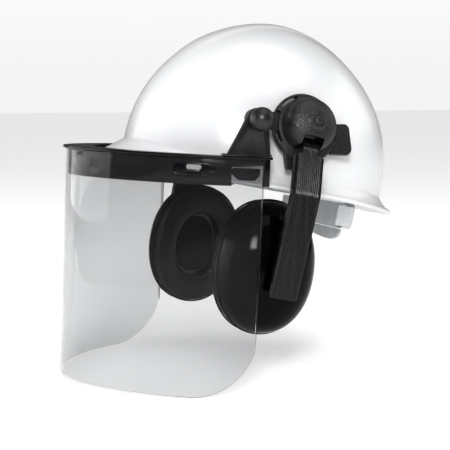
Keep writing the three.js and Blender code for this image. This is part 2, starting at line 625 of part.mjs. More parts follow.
// ---------------------------------------------------------------- ear cup
const cupSides = 28;
const cupOval = (halfWidth, halfHeight, x) => Array.from({ length: cupSides }, (_, j) => {
  const t = (2 * PI * j) / cupSides;
  const [c, s] = [cos(t), sin(t)];
  const rounded = (value) => sign(value) * abs(value) ** (2 / cupRound.plan);
  return vec(x, halfWidth * rounded(c), halfHeight * rounded(s));
});
function cupShell() {
  const rows = 6;
  const skinRings = (inset) => Array.from({ length: rows + 1 }, (_, i) => {
    const a = ((PI / 2) * i) / rows;
    const r = i === rows ? 0 : cos(a) ** (2 / cupRound.outline);
    const x = (cup.depth - inset) * sin(a) ** (2 / cupRound.face);
    return cupOval((cup.halfWidth - inset) * r, (cup.halfHeight - inset) * r, x);
  });
  const skin = loft([...skinRings(0).reverse(), ...skinRings(cup.wall)]);
  const boss = rodX(socket.radius, cup.depth - cup.wall + 0.4, cup.depth + socket.height, 0, 0, 20);
  return cut(join(skin, boss), rodX(socket.bore, cup.depth + 0.3, cup.depth + 10, 0, 0, 16));
}
const ovalRing = (outer, hole, x0, x1) => {
  const [o0, o1, h1, h0] = [cupOval(...outer, x0), cupOval(...outer, x1), cupOval(...hole, x1), cupOval(...hole, x0)];
  return loft([o0, o1, h1, h0], { closed: true });
};
function backPlate() {
  const inset = 0.8;
  return ovalRing([cup.halfWidth - inset, cup.halfHeight - inset],
    [cupPlate.openingWidth, cupPlate.openingHeight], -gap - cupPlate.thick, -gap);
}
function earCushion() {
  const back = -gap * 2 - cupPlate.thick;
  const face = back - cushion.depth;
  const wide = [cup.halfWidth - cushion.inset, cup.halfHeight - cushion.inset];
  const hole = [cushion.openingWidth, cushion.openingHeight];
  const shrink = ([w, h], by) => [w - by, h - by];
  return loft([
    cupOval(...shrink(wide, 1), back), cupOval(...wide, back - 3.5), cupOval(...wide, face + 4),
    cupOval(...shrink(wide, 4), face), cupOval(...shrink(hole, -3.5), face), cupOval(...hole, face + 4),
    cupOval(...hole, back - 3), cupOval(...shrink(hole, -1), back),
  ], { closed: true });
}
function foamLiner() {
  const at = (x, inset) => cupOval(cup.halfWidth - inset, cup.halfHeight - inset, x);
  return loft([at(liner.front, liner.inset), at(liner.back * 0.6, liner.inset + 1), at(liner.back, liner.inset + 5)]);
}

// ---------------------------------------------------------------- assembly
const mountGroups = sides.map(([, side]) => {
  const fixed = new THREE.Group();
  fixed.position.set(side * mount.x, mount.y, mount.z);
  fixed.rotation.y = rad(-mount.slope) * side;
  helmet.add(fixed);
  return fixed;
});

add(shellFrame, 'shell', shellSkin(), whiteGloss());
add(shellFrame, 'headband', headband(), paleNylon());
add(shellFrame, 'brow_pad', browCushion(), foam());
for (const [name, angle] of Object.entries(keyAngles)) {
  add(shellFrame, `suspension_key_${name}`, suspensionKey(angle), paleNylon());
}
add(shellFrame, 'crown_strap_FL_RR', crownStrap(keyAngles.FL, 0), webbing());
add(shellFrame, 'crown_strap_FR_RL', crownStrap(keyAngles.FR, strap.lift), webbing());
const padTop = strap.foot + strap.rise - strap.thick / 2 - 2.9;
add(shellFrame, 'crown_pad', rodZ(crownPad.radius, padTop - crownPad.thick, padTop, 0, 0, 32), foam());

add(shellFrame, 'nape_strap_L', napeStrap(true), paleNylon());
add(shellFrame, 'nape_strap_R', mirrored(napeStrap(false)), paleNylon());
add(shellFrame, 'ratchet_housing', ratchetCase(), paleNylon());
const napePad = ellipseStrip({
  halfWidth: 52, halfLength: 30, y: housing.front - 26, from: 48, to: 132, steps: 14, thick: 2.6,
  top: () => nape.z - housing.halfHeight - 0.6, bottom: (s) => nape.z - housing.halfHeight - 12 + 6 * (2 * s - 1) ** 2,
});
add(shellFrame, 'nape_pad', napePad, padSkin());
const pinion = new THREE.ExtrudeGeometry(fluted(nape.pinionRadius, 0.9, 8),
  { depth: housing.back + 3 - nape.y, bevelEnabled: false });
pinion.rotateX(-PI / 2).translate(0, nape.y, nape.z);
add(shellFrame, 'ratchet_pinion', pinion, paleNylon());
const dial = new THREE.ExtrudeGeometry(fluted(ratchetKnob.radius, 0.9, ratchetKnob.flutes),
  { depth: ratchetKnob.length, bevelEnabled: false });
dial.rotateX(-PI / 2).translate(0, housing.back + gap, nape.z);
const dialBore = rodY(nape.pinionRadius + gap, housing.back - 1, housing.back + 3 + gap, 0, nape.z);
add(shellFrame, 'ratchet_knob', cut(dial, dialBore), padSkin());

const openings = [];
const tabs = [];
for (const distance of sheetTabs) {
  const opening = tabBlock(distance, 17, 5.2, -6, 6);
  const hook = tabBlock(distance, 7, 3, -frameBand.inset - 1, 0.9);
  openings.push(opening, mirrored(opening));
  tabs.push(hook, mirrored(hook));
}
add(visorFrameGroup, 'visor_frame', join(shieldFrame(), ...tabs), blackSatin());
add(visorFrameGroup, 'visor_sheet', cut(shieldSheet(), ...openings), clearSheet());

sides.forEach(([tag, side], i) => {
  const fixed = mountGroups[i];
  const mirrorTurn = (degrees) => rad(degrees) * side;
  add(visorFrameGroup, `visor_gusset_${tag}`, gussetPlate(), blackGrained(), side);
  add(helmet, `visor_link_${tag}`, linkArm(), blackGrained(), side);
  const boltSolid = join(rodX(bolt.head, bolt.headX, link.inner - gap, pivot.y, pivot.z, 6),
    rodX(bolt.radius, link.inner - 1, knob.centreX + 1.5, pivot.y, pivot.z, 16));
  add(helmet, `pivot_bolt_${tag}`, boltSolid, steel(), side);
  add(helmet, `visor_knob_${tag}`, knobShape().translate(0, pivot.y, pivot.z), blackGrained(), side);

  add(fixed, `slot_adapter_${tag}`, slotAdapter(mountGroups[0]), blackSatin(), side);
  const posts = linkPosts(2.5, mount.x + 2).map((post) => post.applyMatrix4(worldIn(mountGroups[0])));
  add(fixed, `mount_disc_${tag}`, join(mountDisc(), ...posts), blackGrained(), side);
  add(fixed, `cap_screw_${tag}`, capScrew(), blackGrained(), side);

  const swivel = new THREE.Group();
  swivel.rotation.x = rad(-arm.lean);
  fixed.add(swivel);
  add(swivel, `swivel_cap_${tag}`, swivelCap(), blackGrained(), side);
  add(swivel, `arm_pin_${tag}`, rodY(armHinge.pin, -11, 11, armHinge.x, armHinge.z, 16), steel(), side);
  add(swivel, `arm_spring_${tag}`, armSpring(), steel(), side);
  add(swivel, `muff_arm_${tag}`, muffArm(), blackSatin(), side);
  add(swivel, `cup_slider_${tag}`, lowerArm(cupSlider()), blackSatin(), side);

  const hang = new THREE.Group(); // at the ball that the cup tilts on
  hang.position.copy(ballCentre(side, swivel));
  hang.rotation.set(rad(-cup.lean), mirrorTurn(cup.cant), 0, 'YXZ');
  const cupGroup = new THREE.Group();
  cupGroup.position.x = -side * (cup.depth + ball.offFace);
  hang.add(cupGroup);
  helmet.add(hang);
  add(cupGroup, `cup_shell_${tag}`, cupShell(), blackGloss(), side);
  add(cupGroup, `cup_plate_${tag}`, backPlate(), blackSatin(), side);
  add(cupGroup, `ear_cushion_${tag}`, earCushion(), padSkin(), side);
  add(cupGroup, `foam_liner_${tag}`, foamLiner(), foam(), side);
});

// Middle of the slider's ball, in the helmet's frame.
function ballCentre(side, swivel) {
  const t = rad(arm.bendAngle);
  const inArm = vec(
    side * (arm.outer + ball.x * cos(t) + cupAxis * sin(t)), 0, arm.bend - ball.x * sin(t) + cupAxis * cos(t));
  swivel.updateWorldMatrix(true, false);
  return inArm.applyMatrix4(swivel.matrixWorld);
}

// A matrix that takes helmet coordinates into a group's own.
function worldIn(group) {
  group.updateWorldMatrix(true, false);
  return group.matrixWorld.clone().invert();
}

export default helmet;
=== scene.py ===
# Looks of the safety helmet with face shield and ear muffs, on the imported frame.
# Lengths are millimetres in the helmet's own frames, and metres once a mesh is made.
import json
import math
import bpy
import bmesh
from mathutils import Matrix, Vector, noise


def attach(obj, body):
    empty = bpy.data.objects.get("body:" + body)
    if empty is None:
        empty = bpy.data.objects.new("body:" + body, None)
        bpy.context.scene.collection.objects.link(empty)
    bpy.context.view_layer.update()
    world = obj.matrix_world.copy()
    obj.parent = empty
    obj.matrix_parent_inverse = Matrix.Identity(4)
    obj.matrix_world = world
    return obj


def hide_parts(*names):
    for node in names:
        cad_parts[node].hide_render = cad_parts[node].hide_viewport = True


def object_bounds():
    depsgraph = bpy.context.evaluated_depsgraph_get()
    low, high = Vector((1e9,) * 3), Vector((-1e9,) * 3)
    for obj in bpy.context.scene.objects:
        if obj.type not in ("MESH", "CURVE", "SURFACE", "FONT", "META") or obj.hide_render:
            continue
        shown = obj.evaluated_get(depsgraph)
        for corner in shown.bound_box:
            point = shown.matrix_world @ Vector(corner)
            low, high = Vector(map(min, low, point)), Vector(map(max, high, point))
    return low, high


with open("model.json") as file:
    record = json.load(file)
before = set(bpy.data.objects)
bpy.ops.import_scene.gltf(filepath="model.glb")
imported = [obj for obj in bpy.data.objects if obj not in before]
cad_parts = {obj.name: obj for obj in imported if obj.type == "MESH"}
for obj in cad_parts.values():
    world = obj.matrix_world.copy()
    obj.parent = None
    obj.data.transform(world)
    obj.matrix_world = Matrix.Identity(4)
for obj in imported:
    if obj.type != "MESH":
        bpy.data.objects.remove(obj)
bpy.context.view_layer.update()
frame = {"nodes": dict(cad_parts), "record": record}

MM = 0.001
PI = math.pi
sin, cos = math.sin, math.cos
record = frame["record"]
node_body = {n: b for b, ns in record["behaviour"]["bodies"].items() for n in ns}
node_slot = {s["node"]: s["material_slot"] for s in record["subparts"]}


def shift(x, y, z):
    return Matrix.Translation((x, y, z))


def turn(degrees, axis):
    return Matrix.Rotation(math.radians(degrees), 4, axis)


# Frames of the assembly, in millimetres.
HELMET = Matrix.Identity(4)
SHELL = shift(0, 0, 10.1) @ turn(-11.24, "X")
VISOR_TIP, VISOR_Y, VISOR_Z = 2.9, -29.56, 23.4
VISOR = shift(0, VISOR_Y, VISOR_Z) @ turn(-VISOR_TIP, "X")
MOUNT = shift(98.4, -1.1, 47.2) @ turn(-16.2, "Y")
SWIVEL = MOUNT @ turn(-13, "X")
ARM_FACE, ARM_BEND_Z, ARM_BEND = 18.8, -60.0, 18.1  # outer face, height and degrees of the arm's bend
LOWER = SWIVEL @ shift(ARM_FACE, 0, ARM_BEND_Z) @ turn(ARM_BEND, "Y")
BALL = LOWER @ Vector((-11.6, 0, -64.7))
CUP_DEPTH = 33.5
CUP = Matrix.Translation(BALL) @ turn(-3.1, "Y") @ turn(-9, "X") @ shift(-(CUP_DEPTH + 3.9), 0, 0)
PIVOT = (-49.5, 56.3)  # the face shield's pivot, y and z in the helmet's frame


def smooth(t):
    t = max(0.0, min(1.0, t))
    return t * t * (3 - 2 * t)


def power(value, exponent):
    return math.copysign(abs(value) ** exponent, value)


# ------------------------------------------------------------------ materials
class Finish:
    """A Principled material whose detail comes from object-space noise."""

    def __init__(self, name, color, roughness, metallic=0.0, specular=0.5):
        self.material = bpy.data.materials.new(name)
        self.material.use_nodes = True
        self.tree = self.material.node_tree
        self.shader = self.tree.nodes["Principled BSDF"]
        self.set("Base Color", (*color, 1))
        self.set("Roughness", roughness)
        self.set("Metallic", metallic)
        self.set("Specular IOR Level", specular)
        self.color, self.roughness = color, roughness
        self.coords = self.tree.nodes.new("ShaderNodeTexCoord")
        self.height = None

    def set(self, socket, value):
        self.shader.inputs[socket].default_value = value

    def link(self, a, b):
        self.tree.links.new(a, b)

    def node(self, kind, **values):
        made = self.tree.nodes.new(kind)
        for key, value in values.items():
            if key in made.inputs:
                made.inputs[key].default_value = value
            else:
                setattr(made, key, value)
        return made

    def stretched(self, scale, source="Object"):
        mapping = self.node("ShaderNodeMapping")
        mapping.inputs["Scale"].default_value = scale
        self.link(self.coords.outputs[source], mapping.inputs["Vector"])
        return mapping.outputs["Vector"]

    def noise(self, scale, detail=3.0, rough=0.55, vector=None):
        made = self.node("ShaderNodeTexNoise", Scale=scale, Detail=detail, Roughness=rough)
        self.link(vector or self.coords.outputs["Object"], made.inputs["Vector"])
        return made.outputs["Fac"]

    def cells(self, scale, feature="F1", vector=None):
        made = self.node("ShaderNodeTexVoronoi", Scale=scale, feature=feature)
        self.link(vector or self.coords.outputs["Object"], made.inputs["Vector"])
        return made.outputs["Distance"]

    def ranged(self, value, low, high, start=0.3, end=0.7):
        made = self.tree.nodes.new("ShaderNodeMapRange")
        for key, number in (("From Min", start), ("From Max", end), ("To Min", low), ("To Max", high)):
            made.inputs[key].default_value = number
        self.link(value, made.inputs["Value"])
        return made.outputs["Result"]

    def vary_roughness(self, value, spread):
        varied = self.ranged(value, self.roughness - spread, self.roughness + spread)
        self.link(varied, self.shader.inputs["Roughness"])

    def vary_color(self, value, other, start=0.35, end=0.65):
        mix = self.tree.nodes.new("ShaderNodeMix")
        mix.data_type = "RGBA"
        for socket in mix.inputs:
            if socket.name == "A" and socket.type == "RGBA":
                socket.default_value = (*self.color, 1)
            if socket.name == "B" and socket.type == "RGBA":
                socket.default_value = (*other, 1)
        self.link(self.ranged(value, 0, 1, start, end), mix.inputs["Factor"])
        result = next(s for s in mix.outputs if s.type == "RGBA")
        self.link(result, self.shader.inputs["Base Color"])

    def bump(self, value, distance, strength=1.0):
        made = self.node("ShaderNodeBump", Strength=strength, Distance=distance)
        self.link(value, made.inputs["Height"])
        if self.height is not None:
            self.link(self.height, made.inputs["Normal"])
        self.height = made.outputs["Normal"]
        self.link(self.height, self.shader.inputs["Normal"])


def white_shell():
    f = Finish("shell_white", (0.82, 0.825, 0.83), 0.24, specular=0.35)
    f.set("Coat Weight", 0.12)
    f.set("Coat Roughness", 0.2)
    f.vary_roughness(f.noise(14, 3), 0.03)
    f.vary_color(f.noise(9, 2), (0.805, 0.81, 0.82))
    f.bump(f.noise(40, 1), 0.00003, 0.2)
    f.bump(f.noise(2600, 2), 0.000006, 0.3)
    return f.material


def gloss_black():
    f = Finish("gloss_black", (0.002, 0.002, 0.003), 0.12, specular=0.14)
    f.set("Coat Weight", 0.12)
    f.set("Coat Roughness", 0.05)
    f.vary_roughness(f.noise(60, 5), 0.04)
    f.bump(f.noise(45, 1), 0.00022, 0.35)
    f.bump(f.noise(1900, 2), 0.00001, 0.35)
    return f.material


def grained_black():
    f = Finish("grained_black", (0.018, 0.018, 0.0185), 0.36, specular=0.8)
    f.vary_roughness(f.noise(900, 3), 0.1)
    f.vary_color(f.noise(800, 3), (0.05, 0.05, 0.051), 0.42, 0.7)
    f.bump(f.cells(900), 0.0003, 0.8)
    f.bump(f.noise(2100, 3), 0.00012, 0.6)
    return f.material


def smooth_black():
    f = Finish("smooth_black", (0.012, 0.012, 0.0125), 0.4, specular=0.9)
    f.vary_roughness(f.noise(260, 4), 0.06)
    f.vary_color(f.noise(180, 3, vector=f.stretched((1, 1, 0.2))), (0.024, 0.024, 0.0245))
    f.bump(f.noise(1300, 2), 0.000015, 0.5)
    return f.material


def satin_black():
    f = Finish("satin_black", (0.003, 0.003, 0.005), 0.18, specular=0.6)
    f.vary_roughness(f.noise(350, 4), 0.04)
    f.vary_color(f.noise(300, 3), (0.006, 0.006, 0.0105))
    f.bump(f.noise(1400, 2), 0.00001, 0.5)
    return f.material


def ribbed_black():
    f = Finish("ribbed_black", (0.004, 0.004, 0.0045), 0.24, specular=0.7)
    f.vary_roughness(f.noise(220, 3, vector=f.stretched((1, 1, 0.05))), 0.06)
    # Painted highlight: the lighter streaks running down the arm stand partly for highlight streaks on the
    # ribs and partly for random tone in the moulding.
    f.vary_color(f.noise(260, 3, vector=f.stretched((1, 1, 0.03))), (0.03, 0.03, 0.0305), 0.45, 0.8)
    f.bump(f.noise(1500, 2), 0.00001, 0.5)
    return f.material


def clear_sheet():
    f = Finish("clear_sheet", (0.8, 0.805, 0.81), 0.02, specular=0.5)
    f.set("Transmission Weight", 1.0)
    f.set("IOR", 1.25)
    f.vary_roughness(f.noise(25, 5), 0.006)
    f.bump(f.noise(14, 1), 0.0001, 0.06)
    return f.material


def pale_nylon():
    f = Finish("pale_nylon", (0.8, 0.81, 0.82), 0.34, specular=0.5)
    f.set("Subsurface Weight", 0.35)
    f.set("Subsurface Radius", (0.003, 0.003, 0.003))
    f.vary_roughness(f.noise(220, 4), 0.08)
    f.vary_color(f.noise(60, 3), (0.74, 0.75, 0.765))
    f.bump(f.noise(900, 3), 0.00004, 0.6)
    return f.material


def webbing():
    f = Finish("webbing", (0.5, 0.51, 0.52), 0.8, specular=0.3)
    f.set("Sheen Weight", 0.3)
    warp = f.node("ShaderNodeTexWave", Scale=0.24, wave_type="BANDS", bands_direction="X")
    weft = f.node("ShaderNodeTexWave", Scale=0.16, wave_type="BANDS", bands_direction="Y")
    for wave in (warp, weft):
        f.link(f.coords.outputs["UV"], wave.inputs["Vector"])
    product = f.node("ShaderNodeMath", operation="MULTIPLY")
    f.link(warp.outputs["Fac"], product.inputs[0])
    f.link(weft.outputs["Fac"], product.inputs[1])
    f.vary_color(product.outputs["Value"], (0.36, 0.37, 0.385), 0.1, 0.7)
    f.bump(product.outputs["Value"], 0.0003, 0.9)
    f.bump(f.noise(2200, 3), 0.00012, 0.7)
    return f.material


def brow_foam():
    f = Finish("brow_foam", (0.045, 0.046, 0.05), 0.9, specular=0.2)
    f.set("Sheen Weight", 0.5)
    f.set("Sheen Roughness", 0.5)
    f.vary_color(f.noise(700, 4), (0.085, 0.086, 0.092), 0.4, 0.7)
    f.bump(f.cells(1500), 0.0003, 0.7)
    f.bump(f.noise(300, 4), 0.0003, 0.6)
    return f.material


def cushion_skin():
    f = Finish("cushion_skin", (0.009, 0.009, 0.01), 0.4, specular=0.4)
    f.vary_roughness(f.noise(300, 4), 0.1)
    f.vary_color(f.noise(120, 4), (0.016, 0.016, 0.018))
    f.bump(f.cells(1600, "DISTANCE_TO_EDGE"), 0.00006, 0.35)
    f.bump(f.noise(110, 4), 0.00035, 0.45)
    return f.material


def liner_foam():
    f = Finish("liner_foam", (0.03, 0.03, 0.033), 0.95, specular=0.15)
    f.vary_color(f.cells(800), (0.015, 0.015, 0.017), 0.35, 0.9)
    f.bump(f.cells(800), 0.0008, 1.0)
    return f.material


def steel():
    f = Finish("steel", (0.5, 0.51, 0.52), 0.28, metallic=1.0)
    f.vary_roughness(f.noise(400, 4, vector=f.stretched((1, 12, 12))), 0.1)
    f.bump(f.noise(900, 3, vector=f.stretched((1, 14, 14))), 0.00003, 0.5)
    return f.material


materials = {
    "shell_white": white_shell(), "gloss_black": gloss_black(), "grained_black": grained_black(),
    "satin_black": satin_black(), "smooth_black": smooth_black(), "ribbed_black": ribbed_black(),
    "clear_sheet": clear_sheet(),
    "pale_nylon": pale_nylon(), "webbing": webbing(), "brow_foam": brow_foam(),
    "cushion_skin": cushion_skin(), "liner_foam": liner_foam(), "steel": steel(),
}


# ------------------------------------------------------------------ mesh building
def finish_mesh(obj, sharp=34.0, merge=2e-6):
    bm = bmesh.new()
    bm.from_mesh(obj.data)
    bmesh.ops.remove_doubles(bm, verts=bm.verts, dist=merge)
    bmesh.ops.dissolve_degenerate(bm, edges=bm.edges, dist=1e-7)
    bmesh.ops.recalc_face_normals(bm, faces=bm.faces)
    bm.to_mesh(obj.data)
    bm.free()
    obj.data.polygons.foreach_set("use_smooth", [True] * len(obj.data.polygons))
    obj.data.set_sharp_from_angle(angle=math.radians(sharp))
    return obj


def new_object(name, points, faces, place=HELMET, sharp=34.0):
    mesh = bpy.data.meshes.new(name)
    mesh.from_pydata([(place @ Vector(p)) * MM for p in points], [], faces)
    obj = bpy.data.objects.new(name, mesh)
    bpy.context.scene.collection.objects.link(obj)
    return finish_mesh(obj, sharp)


def skin(name, rows, place=HELMET, around=True, looped=False, caps=True, sharp=34.0):
    """A surface through rows of points: around joins each row's ends, looped joins last row to first."""
    count = len(rows[0])
    points = [p for row in rows for p in row]
    faces = []
    row_steps = len(rows) if looped else len(rows) - 1
    for i in range(row_steps):
        a, b = i * count, ((i + 1) % len(rows)) * count
        for j in range(count if around else count - 1):
            k = (j + 1) % count
            faces.append((a + j, a + k, b + k, b + j))
    if caps and around and not looped:
        faces.append(tuple(range(count))[::-1])
        faces.append(tuple(range((len(rows) - 1) * count, len(rows) * count)))
    return new_object(name, points, faces, place, sharp)


def prism(name, outline, low, high, basis, place=HELMET, sharp=34.0):
    """An outline of (u, v) points carried along w; basis gives the axes u, v and w."""
    u, v, w = (Vector(a) for a in basis)
    rows = [[u * p[0] + v * p[1] + w * h for p in outline] for h in (low, high)]
    return skin(name, rows, place, sharp=sharp)


ACROSS_X = ((0, 1, 0), (0, 0, 1), (1, 0, 0))
ACROSS_Y = ((1, 0, 0), (0, 0, 1), (0, 1, 0))


def arc(cx, cy, radius, start, end, steps):
    angles = [math.radians(start + (end - start) * i / steps) for i in range(steps + 1)]
    return [(cx + radius * cos(a), cy + radius * sin(a)) for a in angles]


def rounded(x0, x1, y0, y1, r, steps=6):
    return (arc(x1 - r, y0 + r, r, -90, 0, steps) + arc(x1 - r, y1 - r, r, 0, 90, steps)
            + arc(x0 + r, y1 - r, r, 90, 180, steps) + arc(x0 + r, y0 + r, r, 180, 270, steps))


def turned(name, profile, place=HELMET, sides=96, sharp=34.0):
    """A profile of (along x, radius) turned about x."""
    turns = [2 * PI * j / sides for j in range(sides)]
    rows = [[(x, r * cos(a), r * sin(a)) for a in turns] for x, r in profile]
    return skin(name, rows, place, sharp=sharp)


def apply_modifiers(obj):
    graph = bpy.context.evaluated_depsgraph_get()
    graph.update()
    mesh = bpy.data.meshes.new_from_object(obj.evaluated_get(graph))
    obj.modifiers.clear()
    obj.data = mesh


def boolean(obj, tools, operation="DIFFERENCE", sharp=34.0):
    for tool in tools:
        modifier = obj.modifiers.new("cut", "BOOLEAN")
        modifier.operation = operation
        modifier.solver = "EXACT"
        modifier.object = tool
    apply_modifiers(obj)
    for tool in tools:
        bpy.data.objects.remove(tool)
    return finish_mesh(obj, sharp)


def bevel(obj, width, segments=3, angle=28.0, sharp=34.0):
    modifier = obj.modifiers.new("bevel", "BEVEL")
    modifier.width = width * MM
    modifier.segments = segments
    modifier.limit_method = "ANGLE"
    modifier.angle_limit = math.radians(angle)
    modifier.use_clamp_overlap = True
    apply_modifiers(obj)
    return finish_mesh(obj, sharp, merge=1e-6)


def from_node(name, node, width, segments=3, sharp=34.0):
    """A piece with the CAD node's own shape, its flat faces made whole and its edges rounded."""
    mesh = frame["nodes"][node].data.copy()
    mesh.name = name
    mesh.materials.clear()
    obj = bpy.data.objects.new(name, mesh)
    bpy.context.scene.collection.objects.link(obj)
    bm = bmesh.new()
    bm.from_mesh(mesh)
    bmesh.ops.remove_doubles(bm, verts=bm.verts, dist=2e-6)
    bmesh.ops.dissolve_limit(bm, angle_limit=math.radians(0.8), verts=bm.verts, edges=bm.edges)
    bm.to_mesh(mesh)
    bm.free()
    if width:
        bevel(obj, width, segments)
    return finish_mesh(obj, sharp)


def mirrored(obj, name):
    mesh = obj.data.copy()
    mesh.transform(Matrix.Scale(-1, 4, (1, 0, 0)))
    mesh.flip_normals()
    twin = bpy.data.objects.new(name, mesh)
    bpy.context.scene.collection.objects.link(twin)
    return twin


def wear(obj, node, material=None, stands=True):
    """Gives a piece its finish, its body and the CAD node it stands for."""
    slot = node_slot[node]
    obj.data.materials.clear()
    obj.data.materials.append(materials[material or slot])
    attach(obj, node_body[node])
    if stands:
        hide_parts(node)


def pair(obj, node, material=None, stands=True):
    """The left piece and its mirror image on the right; names end in _L and _R."""
    twin = mirrored(obj, obj.name[:-2] + "_R")
    for piece, tag in ((obj, "L"), (twin, "R")):
        wear(piece, f"{node}_{tag}", material, stands)


def inflate(obj, voxel, cap, pressure=4.0):
    """Swells a closed form as filled cloth, no point moving further than cap."""
    modifier = obj.modifiers.new("remesh", "REMESH")
    modifier.mode = "VOXEL"
    modifier.voxel_size = voxel * MM
    apply_modifiers(obj)
    before = [v.co.copy() for v in obj.data.vertices]
    cloth = obj.modifiers.new("cloth", "CLOTH")
    cloth.settings.use_pressure = True
    cloth.settings.uniform_pressure_force = pressure
    cloth.settings.effector_weights.gravity = 0
    cloth.settings.quality = 5
    cloth.collision_settings.use_self_collision = False
    scene = bpy.context.scene
    scene.frame_start, scene.frame_end = 1, 20
    for step in range(1, 21):
        scene.frame_set(step)
    graph = bpy.context.evaluated_depsgraph_get()
    swollen = obj.evaluated_get(graph).to_mesh()
    after = [v.co.copy() for v in swollen.vertices]
    obj.evaluated_get(graph).to_mesh_clear()
    obj.modifiers.clear()
    scene.frame_set(1)
    for vertex, a, b in zip(obj.data.vertices, before, after):
        move = b - a
        if move.length > cap * MM:
            move *= cap * MM / move.length
        vertex.co = a + move
    modifier = obj.modifiers.new("smooth", "SUBSURF")
    modifier.levels = modifier.render_levels = 1
    apply_modifiers(obj)
    finish_mesh(obj, 60)


# ------------------------------------------------------------------ shell
HALF_L, HALF_W, TALL, WALL = 122.7, 100.6, 127.8, 2.6
RISE, ROUND = 2.16, 1.79
BRIM = {"side": (-3, -14, 8.5), "front": (5, -18, 31), "rear": (-6, -19.4, 12.7)}


def round_brim(angle):
    front = max(0.0, -sin(angle)) ** 2.6
    rear = max(0.0, sin(angle)) ** 2
    side = 1 - front - rear
    return [BRIM["side"][k] * side + BRIM["front"][k] * front + BRIM["rear"][k] * rear for k in range(3)]


def dome_radius(share):
    return 1.0 if share <= 0 else max(0.0, 1 - share ** RISE) ** (1 / ROUND)


def build_shell():
    sides, dome_rows, brim_rows = 224, 60, 18
    around = [2 * PI * j / sides for j in range(sides)]
    grid = []
    for i in range(1, dome_rows + 1):
        rise = sin((PI / 2) * (1 - i / dome_rows)) ** (2 / RISE)
        row = []
        for t in around:
            start = round_brim(t)[0]
            z = start + (TALL - start) * rise
            r = dome_radius(z / TALL)
            row.append(Vector((HALF_W * r * cos(t), HALF_L * r * sin(t), z)))
        grid.append(row)
    for i in range(1, brim_rows + 1):
        s = i / brim_rows
        row = []
        for t in around:
            start, edge, reach = round_brim(t)
            front = max(0.0, -sin(t)) ** 2
            out = Vector((cos(t) / HALF_W, sin(t) / HALF_L, 0)).normalized()
            r = dome_radius(start / TALL)
            p = Vector((HALF_W * r * cos(t), HALF_L * r * sin(t), start + (edge - start) * s))
            row.append(p + out * (reach * s ** (1.7 - 0.7 * front)))
        grid.append(row)
    last = len(grid) - 1

    def normal(i, j):
        along = grid[i][(j + 1) % sides] - grid[i][j - 1]
        down = grid[min(i + 1, last)][j] - grid[max(i - 1, 0)][j]
        return down.cross(along).normalized()

    outer, inner = [], []
    for i, row in enumerate(grid):
        s = (i - dome_rows + 1) / brim_rows
        for side, rows in ((1, outer), (-1, inner)):
            new = []
            for j, p in enumerate(row):
                n = normal(i, j)
                if side > 0:
                    ridge = 1.2 * smooth((26 - abs(p.x)) / 9) * smooth((p.z - 78) / 26)
                    bead = 0.75 * smooth((s - 0.8) / 0.1)
                    new.append(p + n * (ridge + bead))
                else:
                    new.append(p - n * WALL)
            rows.append(new)
    edge = []
    for k in range(1, 8):
        a = PI * k / 8
        row = []
        for o, i_, before in zip(outer[-1], inner[-1], outer[-2]):
            middle, half = (o + i_) / 2, (o - i_) / 2
            down = (o - before).normalized()
            row.append(middle + half * cos(a) + down * half.length * 0.75 * sin(a))
        edge.append(row)
    return skin("shell_body", outer + edge + inner[::-1], SHELL, sharp=50)


BAND_HALF_W, BAND_HALF_L, BAND_Y = 77, 93, -1  # the oval that the headband follows; it is open behind


def build_suspension():
    band = strip("headband_band", BAND_HALF_W, BAND_HALF_L, BAND_Y, 122, 418, 150, 1.8, 10, -18)
    slots = []
    for tag in (1, -1):
        for k in range(5):
            a = math.radians(90 - tag * (38 + k * 9))
            x, y = BAND_HALF_W * cos(a), BAND_Y + BAND_HALF_L * sin(a)
            out = Vector((cos(a) / BAND_HALF_W, sin(a) / BAND_HALF_L, 0))
            slots.append(cross_slot(Vector((x, y, -4)), out, 3.4, 1.5, 6))
    boolean(band, slots)
    bevel(band, 0.45)
    wear(band, "headband")
    brow = padded_strip("brow_pad_cover", 74.9, 90.9, -1, 208, 332, 3.4, 12, -20, 9)
    wear(brow, "brow_pad")
    for tag in ("FL", "FR", "RR", "RL"):
        wear(from_node(f"key_{tag}", f"suspension_key_{tag}", 0.7), f"suspension_key_{tag}")
    for node, degrees, lift in (("crown_strap_FL_RR", -42, 0), ("crown_strap_FR_RL", -138, 1.8)):
        wear(crown_strap("web_" + node, degrees, lift), node)
    top = 5 + 87 - 0.5 - 2.9
    crown = crown_cushion("crown_pad_cover", 24, top - 3.5, top)
    wear(crown, "crown_pad")


def cross_slot(centre, out, half_long, half_tall, depth):
    """A stadium tool, longer than tall, through an upright wall of the headband."""
    out = out.normalized()
    along = Vector((-out.y, out.x, 0))
    r = half_tall
    outline = arc(half_long - r, 0, r, -90, 90, 10) + arc(-half_long + r, 0, r, 90, 270, 10)
    return prism("tool", outline, -depth, depth, (along, (0, 0, 1), out), SHELL @ Matrix.Translation(centre))


def strip(name, half_width, half_length, y, start, end, steps, thick, top, bottom):
    rows = []
    for i in range(steps + 1):
        a = math.radians(start + (end - start) * i / steps)
        out = Vector((cos(a) / half_width, sin(a) / half_length, 0)).normalized()
        p = Vector((half_width * cos(a), y + half_length * sin(a), 0))
        q = p - out * thick
        rows.append([(p.x, p.y, top), (q.x, q.y, top), (q.x, q.y, bottom), (p.x, p.y, bottom)])
    return skin(name, rows, SHELL)


